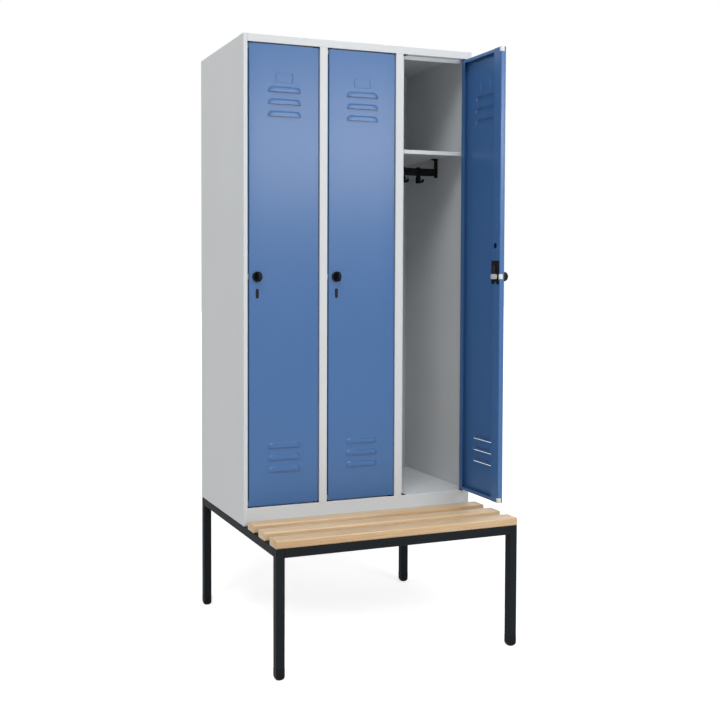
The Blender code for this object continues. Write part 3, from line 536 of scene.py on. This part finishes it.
# Hat shelves: one in each bay, a tray of steel sheet in the body's colour. Its edges are folded
# down on all four sides, and it is spot welded between the bay's walls.
dress(["shelf_1", "shelf_2", "shelf_3"], light_grey)

# Coat rails and hooks: black plastic. Each rail hangs from its shelf by a bracket at each end,
# and three hooks with rounded noses slide along it.


def as_mesh(shape, name, outward=False):
    """Plain mesh of what was built, with its faces turned outwards if that is asked for."""
    if outward:
        bmesh.ops.recalc_face_normals(shape, faces=shape.faces)
    mesh = bpy.data.meshes.new(name)
    shape.to_mesh(mesh)
    shape.free()
    return mesh


def eased(name, node, width, steps, body):
    """Copy in black plastic of a node's solid, with its edges rounded, which stands for it."""
    shape = bmesh.new()
    shape.from_mesh(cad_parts[node].data)
    bmesh.ops.remove_doubles(shape, verts=shape.verts, dist=2e-6)
    flat = math.radians(1.0)
    bmesh.ops.dissolve_limit(shape, angle_limit=flat, verts=shape.verts, edges=shape.edges)
    mesh = rounded_off(as_mesh(shape, name), width, steps)
    piece(name, mesh, body, [node], black_plastic)


for bay in (1, 2, 3):
    eased(f"coat_rail_bar_{bay}", f"coat_rail_{bay}", 0.0008, 2, "locker")
    for place_on_rail in (1, 2, 3):
        node = f"hook_{bay}_{place_on_rail}"
        eased(f"sliding_{node}", node, 0.0013, 3, node)

# Door pivots: a black plastic collar at the lower and the upper hinge corner of each opening. The
# steel pin that the door turns on is out of sight in the door's edge, and is made in one with it.
for bay in (1, 2, 3):
    for level in ("lower", "upper"):
        eased(f"pivot_collar_{level}_{bay}", f"pivot_{level}_{bay}", 0.0005, 2, "locker")

# Doors: pans of steel sheet, folded on all four edges, with a closed channel down the lock side.
# Six louvres and a card frame are pressed outwards in the skin, and the coat is a satin blue.
blue = finish(
    "blue_coat",
    coat,
    {
        "Paint": (0.0430, 0.1290, 0.3170, 1.0),
        "Drift": 0.02,
        "Roughness": 0.292,
        "Peel Scale": 620.0,
        "Peel Depth": 0.00012,
        "Dust": 0.05,
    },
    {"Specular IOR Level": 0.42},
)
sheet = 0.001
outer_face, inner_face = -0.005, 0.0135
free_edge, hinge_edge = -0.256, 0.004
door_height = 1.601
door_middle = (free_edge + hinge_edge) / 2

# A louvre's field, across: its face, its sloping wall and the flat skin beside it. Upwards: the
# flat skin, the slit, the hood and the flat skin again.
half_columns, field_steps = 12, 17
face_end, wall_end = 4 / half_columns, 10 / half_columns
below_end, slit_end, hood_end = 2 / field_steps, 3 / field_steps, 16 / field_steps
mid_slit = (below_end + slit_end) / 2
louvre_measures = ["Height", "Lower Width", "Upper Width", "Bulge", "Wall", "Slit", "Pitch"]
louvre_inputs = dict.fromkeys(["Field Width", "Field Margin", *louvre_measures], "Float")
louvre_inputs |= {"Count": "Int", "Low Set": "Vector", "High Set": "Vector", "Paint": "Material"}
hoods, given, made = geometry_tree("louvres", louvre_inputs)
do = reckoner(hoods)
size = {"Size X": 2.0, "Size Y": 1.0}
counts = {"Vertices X": 2 * half_columns + 1, "Vertices Y": field_steps + 1}
field = add(hoods, "GeometryNodeMeshGrid", {**size, **counts})
position = add(hoods, "GeometryNodeInputPosition").outputs[0]
spot = add(hoods, "ShaderNodeSeparateXYZ", {0: position}).outputs
reach = do("ABSOLUTE", spot["X"])
row = do("ADD", spot["Y"], 0.5)
in_slit = do("COMPARE", row, mid_slit, 0.2 / field_steps)
open_slit = do("MULTIPLY", in_slit, do("LESS_THAN", reach, wall_end))
cut = {"Geometry": field.outputs[0], "Selection": open_slit}
slotted = add(hoods, "GeometryNodeDeleteGeometry", cut, domain="FACE")
turn = spread(hoods, row, slit_end, hood_end, 0.0, math.pi / 2)
climb = do("SINE", turn)
past = spread(hoods, row, hood_end, 1.0)
below_field, below_slit = (do("MULTIPLY", given[key], -1.0) for key in ("Field Margin", "Slit"))
height = spread(hoods, row, 0.0, below_end, below_field, below_slit)
height = do("ADD", height, spread(hoods, row, below_end, slit_end, 0.0, given["Slit"]))
height = do("MULTIPLY_ADD", climb, given["Height"], height)
height = do("MULTIPLY_ADD", past, given["Field Margin"], height)

# The outline goes round from the lower width to the upper one in quarters of an ellipse, and the
# inner line, where the wall ends, follows it.
upper_half = do("MULTIPLY", given["Upper Width"], 0.5)
corner = do("MULTIPLY_ADD", given["Lower Width"], 0.5, do("MULTIPLY", upper_half, -1.0))
outline = do("MULTIPLY_ADD", do("ADD", do("COSINE", turn), past), corner, upper_half)
steepness = do("DIVIDE", given["Height"], do("SUBTRACT", given["Height"], given["Wall"]))
narrowing = do("POWER", do("MULTIPLY", climb, steepness), 2.0)
narrowing = do("SQRT", do("MAXIMUM", do("SUBTRACT", 1.0, narrowing), 0.0))
inner_corner = do("SUBTRACT", corner, given["Wall"])
inner_line = do("MULTIPLY_ADD", do("ADD", narrowing, past), inner_corner, upper_half)
half_field = do("MULTIPLY", given["Field Width"], 0.5)
width = do("MULTIPLY", spread(hoods, reach, 0.0, face_end), inner_line)
for start, end, wider in (
    (face_end, wall_end, do("SUBTRACT", outline, inner_line)),
    (wall_end, 1.0, do("SUBTRACT", half_field, outline)),
):
    width = do("MULTIPLY_ADD", spread(hoods, reach, start, end), wider, width)

# The wall rises with the distance from the outline.
tiny = 0.00001
aside = do("DIVIDE", do("MAXIMUM", do("SUBTRACT", width, upper_half), tiny), corner)
share = do("SQRT", do("MULTIPLY_ADD", aside, aside, do("MULTIPLY", climb, climb)))
from_corner = do("POWER", do("MULTIPLY", aside, corner), 2.0)
up_from_corner = do("POWER", do("MULTIPLY", climb, given["Height"]), 2.0)
from_corner = do("SQRT", do("ADD", from_corner, up_from_corner))
inside = do("MULTIPLY", do("DIVIDE", from_corner, share), do("SUBTRACT", 1.0, share))
rise = {"Value": inside, "From Max": given["Wall"], "To Max": given["Bulge"]}
lift = add(hoods, "ShaderNodeMapRange", rise, interpolation_type="SMOOTHSTEP").outputs[0]
lift = do("MULTIPLY", lift, do("GREATER_THAN", row, mid_slit))
sideways, outwards = do("MULTIPLY", width, do("SIGN", spot["X"])), do("MULTIPLY", lift, -1.0)
place = add(hoods, "ShaderNodeCombineXYZ", {"X": sideways, "Y": outwards, "Z": height})
pressing = {"Geometry": slotted.outputs[0], "Position": place.outputs[0]}
pressed = add(hoods, "GeometryNodeSetPosition", pressing)

upward = add(hoods, "ShaderNodeCombineXYZ", {"Z": given["Pitch"]}).outputs[0]
sets = add(hoods, "GeometryNodeJoinGeometry")
for start in ("Low Set", "High Set"):
    spacing = {"Count": given["Count"], "Start Location": given[start], "Offset": upward}
    line = add(hoods, "GeometryNodeMeshLine", spacing)
    hoods.links.new(line.outputs[0], sets.inputs[0])
pressings = {"Points": sets.outputs[0], "Instance": pressed.outputs[0]}
placed = add(hoods, "GeometryNodeInstanceOnPoints", pressings)
close_tree(hoods, placed, given["Paint"], made)

louvre_height = 0.0185
field_width, field_margin = 0.132, 0.004
louvre_count, louvre_pitch = 3, 0.042
low_start, high_start = 0.118, 1.3555
louvre_mesh = grown(
    "louvres",
    hoods,
    {
        "Field Width": field_width,
        "Field Margin": field_margin,
        "Height": louvre_height,
        "Lower Width": 0.124,
        "Upper Width": 0.086,
        "Bulge": 0.0046,
        "Wall": 0.0052,
        "Slit": 0.0001,
        "Count": louvre_count,
        "Pitch": louvre_pitch,
        "Low Set": (door_middle, outer_face, low_start),
        "High Set": (door_middle, outer_face, high_start),
        "Paint": blue,
    },
)

# The card frame is a fine rim with a heavier bracket at each side, turned in at its ends.
card_sizes = dict.fromkeys(("Width", "Height", "Corner", "Rim", "Bracket", "Hook"), "Float")
card_inputs = {**card_sizes, "Place": "Vector", "Paint": "Material"}
card, given, made = geometry_tree("card_frame", card_inputs)
do = reckoner(card)
size = {"Width": given["Width"], "Height": given["Height"]}
frame_line = add(card, "GeometryNodeCurvePrimitiveQuadrilateral", size)
fillet = {"Curve": frame_line.outputs[0], "Radius": given["Corner"], "Count": 4}
frame_line = add(card, "GeometryNodeFilletCurve", fillet, mode="POLY")
bead, thick_bead = (
    add(card, "GeometryNodeCurvePrimitiveCircle", {"Resolution": 12, "Radius": given[radius]})
    for radius in ("Rim", "Bracket")
)
sweep = {"Curve": frame_line.outputs[0], "Profile Curve": bead.outputs[0]}
rim = add(card, "GeometryNodeCurveToMesh", sweep)
steps_along = {"Curve": frame_line.outputs[0], "Length": 0.001}
stepped = add(card, "GeometryNodeResampleCurve", steps_along, mode="LENGTH")
wire = add(card, "GeometryNodeCurveToMesh", {"Curve": stepped.outputs[0]})
position = add(card, "GeometryNodeInputPosition").outputs[0]
across = add(card, "ShaderNodeSeparateXYZ", {0: position}).outputs["X"]
hook_start = do("SUBTRACT", do("MULTIPLY", given["Width"], 0.5), given["Hook"])
between = do("LESS_THAN", do("ABSOLUTE", across), hook_start)
cut = {"Geometry": wire.outputs[0], "Selection": between}
sides = add(card, "GeometryNodeDeleteGeometry", cut, domain="POINT")
side_lines = add(card, "GeometryNodeMeshToCurve", {"Mesh": sides.outputs[0]})
bracket = {"Curve": side_lines.outputs[0], "Profile Curve": thick_bead.outputs[0]}
brackets = add(card, "GeometryNodeCurveToMesh", {**bracket, "Fill Caps": True})
both = add(card, "GeometryNodeJoinGeometry")
for part in (rim, brackets):
    card.links.new(part.outputs[0], both.inputs[0])
upright_turn = {"Translation": given["Place"], "Rotation": (math.pi / 2, 0.0, 0.0)}
stood = add(card, "GeometryNodeTransform", {"Geometry": both.outputs[0], **upright_turn})
close_tree(card, stood, given["Paint"], made)
card_mesh = grown(
    "card_frame",
    card,
    {
        "Width": 0.062,
        "Height": 0.0305,
        "Corner": 0.002,
        "Rim": 0.0008,
        "Bracket": 0.0016,
        "Hook": 0.007,
        "Place": (door_middle, outer_face + 0.0004, door_height - 0.11275),
        "Paint": blue,
    },
)


def bent(corners, radius=0.002, steps=5):
    """Points of a line whose inner corners are turned into arcs."""
    points = [Vector(corners[0])]
    for before, corner, after in zip(corners, corners[1:], corners[2:]):
        here = Vector(corner)
        back, on = (Vector(before) - here).normalized(), (Vector(after) - here).normalized()
        for step in range(steps + 1):
            angle = math.pi / 2 * step / steps
            inwards = back * (1 - math.sin(angle)) + on * (1 - math.cos(angle))
            points.append(here + radius * inwards)
    return points + [Vector(corners[-1])]


def lay_sheet(shape, lines, left_out=lambda middle: False):
    """Quads between neighbouring lines of points, without those whose middle is left out."""
    grid = [[shape.verts.new(point) for point in line] for line in lines]
    for low, high in zip(grid, grid[1:]):
        for index in range(len(low) - 1):
            corners = (low[index], low[index + 1], high[index + 1], high[index])
            if not left_out(sum((corner.co for corner in corners), Vector()) / 4):
                shape.faces.new(corners)


# The pan's skin is laid round the folds, row by row, and leaves out the louvres' fields and the
# spare hole's. The columns and rows follow the fields' edges, so that all of it joins up.
latch_x, latch_height = free_edge + 0.030, 0.800
channel_edge, return_edge = free_edge + 0.047, hinge_edge - 0.021
spare_height, spare_radius, spare_field = latch_height + 0.109, 0.010, 0.013
spare_parts = 6
spare_steps = [spare_field * (2 * step / spare_parts - 1) for step in range(spare_parts + 1)]
louvre_points = [vertex.co for vertex in louvre_mesh.vertices]
lowest = min(point.z for point in louvre_points)
field_columns = {round(point.x, 6) for point in louvre_points if point.z < lowest + tiny}
field_left = min(field_columns)
field_rows = {round(point.z, 6) for point in louvre_points if point.x < field_left + tiny}
rows = sorted({0.0, door_height, *field_rows, *(spare_height + step for step in spare_steps)})
folds = bent(
    [
        (channel_edge, outer_face + 1.2 * sheet),
        (channel_edge, inner_face),
        (free_edge, inner_face),
        (free_edge, outer_face),
        (hinge_edge, outer_face),
        (hinge_edge, inner_face),
        (return_edge, inner_face),
    ]
)
spare_columns = [Vector((latch_x - step, inner_face)) for step in spare_steps]
skin_columns = [Vector((x, outer_face)) for x in sorted(field_columns)]
arc_points = 6
lock_side, skin_start = 1 + arc_points, 1 + 3 * arc_points
path = folds[:lock_side] + spare_columns + folds[lock_side:skin_start]
path += skin_columns + folds[skin_start:]
field_starts = [
    start + louvre_pitch * index - field_margin
    for start in (low_start, high_start)
    for index in range(louvre_count)
]


def in_field(middle):
    """Whether a quad lies where a louvre's field or the spare hole's goes."""
    if middle.y < outer_face + 0.0001 and abs(middle.x - door_middle) < field_width / 2:
        field_height = louvre_height + 2 * field_margin
        return any(low < middle.z < low + field_height for low in field_starts)
    at_hole = abs(middle.x - latch_x) < spare_field and abs(middle.z - spare_height) < spare_field
    return at_hole and middle.y > inner_face - 0.0001


pan = bmesh.new()
pan.from_mesh(louvre_mesh)
lay_sheet(pan, [[(x, y, z) for x, y in path] for z in rows], in_field)

# The spare hole: a round hole in a square field of the channel's inner face.
turns = [(step, -spare_field) for step in spare_steps[:-1]]
turns += [(spare_field, step) for step in spare_steps[:-1]]
turns += [(-x, -z) for x, z in turns]
edge_line, hole_line = [], []
for across, up in turns + turns[:1]:
    shrink = spare_radius / math.hypot(across, up)
    edge_line.append((latch_x - across, inner_face, spare_height + up))
    hole_line.append((latch_x - across * shrink, inner_face, spare_height + up * shrink))
lay_sheet(pan, [edge_line, hole_line])

# The flaps at the foot and the head: one in the channel, one with a return, one at the hinge.
flap_inset, return_depth, return_height = 0.0005, 0.0002, 0.012
for level, sense in ((0.0002, 1), (door_height - 0.0002, -1)):
    for start, end, with_return in (
        (free_edge + 0.0008, channel_edge - 0.0004, False),
        (channel_edge - 0.0005, return_edge + 0.0005, True),
        (return_edge + 0.0004, hinge_edge - 0.0008, False),
    ):
        flap = [(outer_face + flap_inset, level), (inner_face - flap_inset, level)]
        if with_return:
            inner = inner_face - return_depth
            flap = bent([flap[0], (inner, level), (inner, level + return_height * sense)])
        lay_sheet(pan, [[(x, y, z) for y, z in flap] for x in (start, end)[::sense]])
bmesh.ops.remove_doubles(pan, verts=pan.verts, dist=tiny)
thickened = {"thickness": sheet, "offset": -1.0, "use_even_offset": True, "use_rim": True}
joined = bmesh.new()
joined.from_mesh(modified(as_mesh(pan, "door_skin"), "SOLIDIFY", **thickened))
joined.from_mesh(card_mesh)
pan_mesh = smoothed(as_mesh(joined, "door_pan"), 35.0)

# The right door stands open at a right angle.
hinge_depth, door_foot = -0.0875, 0.492
hung = {
    bay: Matrix.Translation((hinge_x, hinge_depth, door_foot))
    for bay, hinge_x in ((1, -0.174), (2, 0.126), (3, 0.426))
}
hung[3] = hung[3] @ Matrix.Rotation(math.pi / 2, 4, "Z")


def set_in(mesh, place):
    """Copy of a mesh, moved to its place."""
    moved = mesh.copy()
    moved.transform(place)
    return moved


for bay, place in hung.items():
    skin = set_in(pan_mesh, place)
    piece(f"door_pan_{bay}", skin, f"door_{bay}", [f"door_{bay}"], blue)

# Buffers: caps of soft white rubber on each door's free edge, at the top, at the latch and at the
# bottom. They reach round onto the inner side, where they damp the door on its stop.
white_rubber = finish(
    "white_rubber",
    moulded,
    {
        "Tone": (0.66, 0.66, 0.655, 1.0),
        "Roughness": 0.52,
        "Grain Scale": 900.0,
        "Grain Depth": 0.00006,
        "Rub": 0.05,
    },
    {
        "Specular IOR Level": 0.4,
        "Subsurface Weight": 0.15,
        "Subsurface Radius": (0.002, 0.002, 0.002),
        "Subsurface Scale": 1.0,
    },
)


def upright(shape, outline, low, high):
    """Closed prism that stands on an outline, given anticlockwise from above."""
    rings = [[shape.verts.new((x, y, z)) for x, y in outline] for z in (low, high)]
    shape.faces.new(rings[0][::-1])
    shape.faces.new(rings[1])
    for index in range(len(outline)):
        after = (index + 1) % len(outline)
        shape.faces.new((rings[0][index], rings[0][after], rings[1][after], rings[1][index]))


buffers = bmesh.new()
rubber_side, rubber_back = free_edge - 0.0016, inner_face + 0.0024
rubber_front, chamfer, overlap = 0.0015, 0.0012, 0.0001
for low, high, wrap in (
    (0.0005, 0.0170, 0.0085),
    (latch_height - 0.0090, latch_height + 0.0090, 0.0036),
    (door_height - 0.0170, door_height - 0.0005, 0.0085),
):
    outline = [
        (rubber_side, rubber_front),
        (free_edge + overlap, rubber_front),
        (free_edge - overlap, inner_face - 0.0020),
        (free_edge + 0.0020, inner_face + overlap),
        (free_edge + wrap, inner_face + overlap),
        (free_edge + wrap, rubber_back),
        (rubber_side + chamfer, rubber_back),
        (rubber_side, rubber_back - chamfer),
    ]
    upright(buffers, outline, low, high)
buffer_mesh = rounded_off(as_mesh(buffers, "buffers"), 0.0006, 3)
for bay, place in hung.items():
    edge_mesh = set_in(buffer_mesh, place)
    piece(f"edge_buffers_{bay}", edge_mesh, f"door_{bay}", (), white_rubber)

# Knobs: black plastic, a round disc with a raised rim and a tall upright fin to turn it by. Each
# is moulded in one with its spindle, which goes through the door to the cam.


def lathe(shape, profile, steps):
    """Closed body of a (radius, depth) line, turned round the y axis from pole to pole."""
    poles = [shape.verts.new((0.0, depth, 0.0)) for _, depth in (profile[0], profile[-1])]
    angles = [2 * math.pi * step / steps for step in range(steps)]
    rings = [
        [shape.verts.new((radius * math.cos(a), depth, radius * math.sin(a))) for a in angles]
        for radius, depth in profile[1:-1]
    ]
    for step in range(steps):
        after = (step + 1) % steps
        shape.faces.new((poles[0], rings[0][step], rings[0][after]))
        shape.faces.new((poles[1], rings[-1][after], rings[-1][step]))
        for low, high in zip(rings, rings[1:]):
            shape.faces.new((low[step], high[step], high[after], low[after]))


knob = bmesh.new()
disc = [(0.0, -0.0060), (0.0122, -0.0060), (0.0129, -0.0062), (0.0136, -0.0070)]
disc += [(0.0144, -0.0073), (0.0156, -0.0073), (0.0168, -0.0068), (0.0177, -0.0057)]
disc += [(0.0182, -0.0043), (0.0182, -0.0003)]
spindle = [(0.0060, -0.0003), (0.0060, 0.0227), (0.0, 0.0227)]
lathe(knob, disc + spindle, 48)
bmesh.ops.recalc_face_normals(knob, faces=knob.faces)

# The fin: half-round outlines side by side, those at its faces a little lower.
grip_half, grip_reach, grip_foot, grip_shoulder = 0.0045, 0.0175, -0.0055, -0.0168
edge_drop, steps_across, steps_round = 0.0022, 8, 24
grip_lines = []
for turn_over in (math.pi * step / steps_across for step in range(steps_across + 1)):
    x = -grip_half * math.cos(turn_over)
    reach = grip_reach - edge_drop * (1 - math.sin(turn_over)) ** 1.5
    line = [(x, grip_foot, reach)]
    for angle in (math.pi * step / steps_round for step in range(steps_round + 1)):
        line.append((x, grip_shoulder - reach * math.sin(angle), reach * math.cos(angle)))
    grip_lines.append([*line, (x, grip_foot, -reach)])
grip = bmesh.new()
rings = [[grip.verts.new(point) for point in line] for line in grip_lines]
grip.faces.new(rings[0])
grip.faces.new(rings[-1][::-1])
for low, high in zip(rings, rings[1:]):
    for index in range(len(low)):
        after = (index + 1) % len(low)
        grip.faces.new((low[index], high[index], high[after], low[after]))
knob.from_mesh(as_mesh(grip, "grip", outward=True))
knob_mesh = smoothed(as_mesh(knob, "knob"), 38.0)
knob_plastic = finish(
    "knob_plastic",
    moulded,
    {
        "Tone": (0.0050, 0.0050, 0.0053, 1.0),
        "Roughness": 0.30,
        "Grain Scale": 1800.0,
        "Grain Depth": 0.00003,
        "Rub": 0.02,
    },
    {"Specular IOR Level": 0.14},
)
at_latch = Matrix.Translation((latch_x, outer_face, latch_height))
latched = {bay: place @ at_latch for bay, place in hung.items()}
for bay, place in latched.items():
    turned = set_in(knob_mesh, place)
    piece(f"turn_knob_{bay}", turned, f"latch_{bay}", [f"knob_{bay}"], knob_plastic)

# Latches: a black back plate on the door's inner side, and behind it a blackened tongue under an
# oblong zinc-plated hub, both held on the spindle by a screw.


def zinc_plating():
    """Group for zinc plate: spangle, fine drawn lines and dull patches."""
    tree, given, made = group_tree("zinc_plating", {"Metal": "Color", "Roughness": "Float"})
    do = reckoner(tree)
    place = add(tree, "ShaderNodeTexCoord").outputs["Object"]
    cells = add(tree, "ShaderNodeTexVoronoi", {"Vector": place, "Scale": 420.0}).outputs["Color"]
    spangle = add(tree, "ShaderNodeSeparateXYZ", {0: cells}).outputs["X"]
    lines = noise(tree, stretched(tree, place, (1.0, 1.0, 14.0)), 260.0, 3.0)
    dull = spread(tree, noise(tree, place, 120.0, 5.0), 0.42, 0.70)
    gain = do("ADD", spread(tree, spangle, 0.0, 1.0, 0.93, 1.05), do("MULTIPLY", dull, -0.12))
    rough = do("ADD", given["Roughness"], do("MULTIPLY", dull, 0.20))
    rough = do("ADD", rough, spread(tree, lines, 0.3, 0.7, -0.04, 0.04))
    relief = {"Strength": 0.4, "Distance": 0.00004, "Height": lines}
    hand_out(tree, made, shaded(tree, given["Metal"], gain), rough, relief)
    return tree


plated = zinc_plating()
zinc, blackened = (
    finish(name, plated, {"Metal": metal, "Roughness": roughness}, {"Metallic": 0.3})
    for name, metal, roughness in (
        ("zinc_plate", (0.640, 0.640, 0.630, 1.0), 0.42),
        ("blackened_steel", (0.016, 0.016, 0.017, 1.0), 0.44),
    )
)


def cam_plate(name, low, high, start, end, corner):
    """Flat plate with rounded corners, upright between two depths in latch coordinates."""
    first = (low[0] + corner, low[1])
    corners = [first, (high[0], low[1]), high, (low[0], high[1]), low, first]
    shape = bmesh.new()
    upright(shape, bent(corners, corner, 6)[1:-1], start, end)
    quarter_turn = Matrix.Rotation(math.pi / 2, 4, "X")
    bmesh.ops.transform(shape, matrix=quarter_turn, verts=shape.verts)
    bmesh.ops.scale(shape, vec=(1.0, -1.0, 1.0), verts=shape.verts)
    return rounded_off(as_mesh(shape, name, outward=True), 0.0004, 3)


hub_face = 0.026
tongue_mesh = cam_plate("tongue", (-0.008, -0.010), (0.008, 0.041), 0.0230, 0.0248, 0.004)
hub_mesh = cam_plate("hub", (-0.0205, -0.0089), (0.0165, 0.0089), 0.0239, hub_face, 0.006)
head = [(0.0, -0.0004), (0.0014, -0.0004), (0.0016, 0.0006), (0.0022, 0.0008)]
head += [(0.0032, 0.0005), (0.0035, -0.0001), (0.0035, -0.0010), (0.0, -0.0010)]
screw = bmesh.new()
lathe(screw, [(radius, hub_face + depth) for radius, depth in head], 24)
screw_mesh = smoothed(as_mesh(screw, "hub_screw", outward=True), 35.0)
for bay, place in latched.items():
    hub, tongue, screw_head = (set_in(mesh, place) for mesh in (hub_mesh, tongue_mesh, screw_mesh))
    piece(f"latch_hub_{bay}", hub, f"latch_{bay}", [f"cam_{bay}"], zinc)
    piece(f"latch_tongue_{bay}", tongue, f"latch_{bay}", (), blackened)
    eased(f"latch_plate_{bay}", f"lock_plate_{bay}", 0.0004, 2, f"door_{bay}")
    piece(f"hub_screw_{bay}", screw_head, f"latch_{bay}", (), zinc)

# Slot inserts: black plastic strips that blank the slot for a second lock below the knob. Each
# has a thin rim round a sunk middle.
half_width, half_straight, steps_round = 0.0055, 0.0115, 12
outline = []
for angle in (math.pi * step / steps_round for step in range(steps_round + 1)):
    outline.append((half_width * math.cos(angle), half_straight + half_width * math.sin(angle)))
outline += [(-x, -z) for x, z in outline]
lines = [
    [(x * share, depth, z - math.copysign(half_width * (1 - share), z)) for x, z in outline]
    for share, depth in (
        (1.0, -0.0003),
        (1.0, -0.0009),
        (0.94, -0.0011),
        (0.80, -0.0011),
        (0.72, -0.0006),
    )
]
insert = bmesh.new()
lay_sheet(insert, [line + line[:1] for line in lines])
bmesh.ops.remove_doubles(insert, verts=insert.verts, dist=tiny)
bmesh.ops.holes_fill(insert, edges=insert.edges, sides=0)
insert_mesh = smoothed(as_mesh(insert, "insert", outward=True), 35.0)
insert_plastic = finish(
    "insert_plastic",
    moulded,
    {
        "Tone": (0.0115, 0.0100, 0.0095, 1.0),
        "Roughness": 0.42,
        "Grain Scale": 1500.0,
        "Grain Depth": 0.00005,
        "Rub": 0.03,
    },
    {"Specular IOR Level": 0.12},
)
below_knob = Matrix.Translation((0.0, 0.0, -0.059))
for bay, place in latched.items():
    blank = set_in(insert_mesh, place @ below_knob)
    stands_for = [f"slot_insert_{bay}"]
    piece(f"slot_blank_{bay}", blank, f"door_{bay}", stands_for, insert_plastic)

# Lead-in wedges: small black plastic wedges in the lock-side corners of each opening, which lift
# a sagging door into place as it closes.
body_front = -0.0925
wedge_length, wedge_flat, wedge_height = 0.019, 0.008, 0.0043
wedge_root, wedge_tip = 0.0003, 0.0014
wedge_front, wedge_back = body_front + 0.0020, body_front + 0.0150
opening_lefts, opening_low, opening_high = (-0.435, -0.135, 0.165), 0.487, 2.098
wedges = bmesh.new()
for left in opening_lefts:
    start = left + 0.0004
    end = start + wedge_length
    side = [(start, wedge_root), (end, wedge_root), (end, wedge_tip)]
    side += [(start + wedge_flat, wedge_height), (start, wedge_height)]
    for level, sense in ((opening_low, 1), (opening_high, -1)):
        wedge = bmesh.new()
        upright(wedge, side, wedge_front, wedge_back)
        turned = Matrix(((1, 0, 0, 0), (0, 0, 1, 0), (0, sense, 0, level), (0, 0, 0, 1)))
        bmesh.ops.transform(wedge, matrix=turned, verts=wedge.verts)
        wedges.from_mesh(as_mesh(wedge, "wedge", outward=True))
wedge_mesh = rounded_off(as_mesh(wedges, "wedges"), 0.0005, 2)
piece("lead_in_wedges", wedge_mesh, "locker", (), black_plastic)

# Corner caps and welds: a small plate closes each stile at the top, and the welds between the
# stiles, the mullions and the two front bands are ground flush under the paint.
welds = bmesh.new()
stile_join, mullion_end = (0.4345, 0.4352), (0.150 - 0.0149, 0.150 + 0.0149)
weld_face = (body_front + 0.0001, body_front + 0.0009)
cap_depth = (body_front + 0.0003, body_front + 0.0225)
half_weld = 0.0004
strips = [((0.4346, 0.4495), cap_depth, 2.1239, 2.1249)]
for low, high in ((2.0982, 2.1238), (0.4255, 0.4868)):
    strips.append((stile_join, weld_face, low, high))
for seam in (0.48715, 2.09785):
    strips.append((mullion_end, weld_face, seam - half_weld, seam + half_weld))
for side in (-1, 1):
    for reach, (front, behind), low, high in strips:
        left, right = sorted(side * x for x in reach)
        outline = [(left, front), (right, front), (right, behind), (left, behind)]
        upright(welds, outline, low, high)
weld_mesh = rounded_off(as_mesh(welds, "welds"), 0.0001, 1)
piece("corner_caps_and_welds", weld_mesh, "locker", (), light_grey)
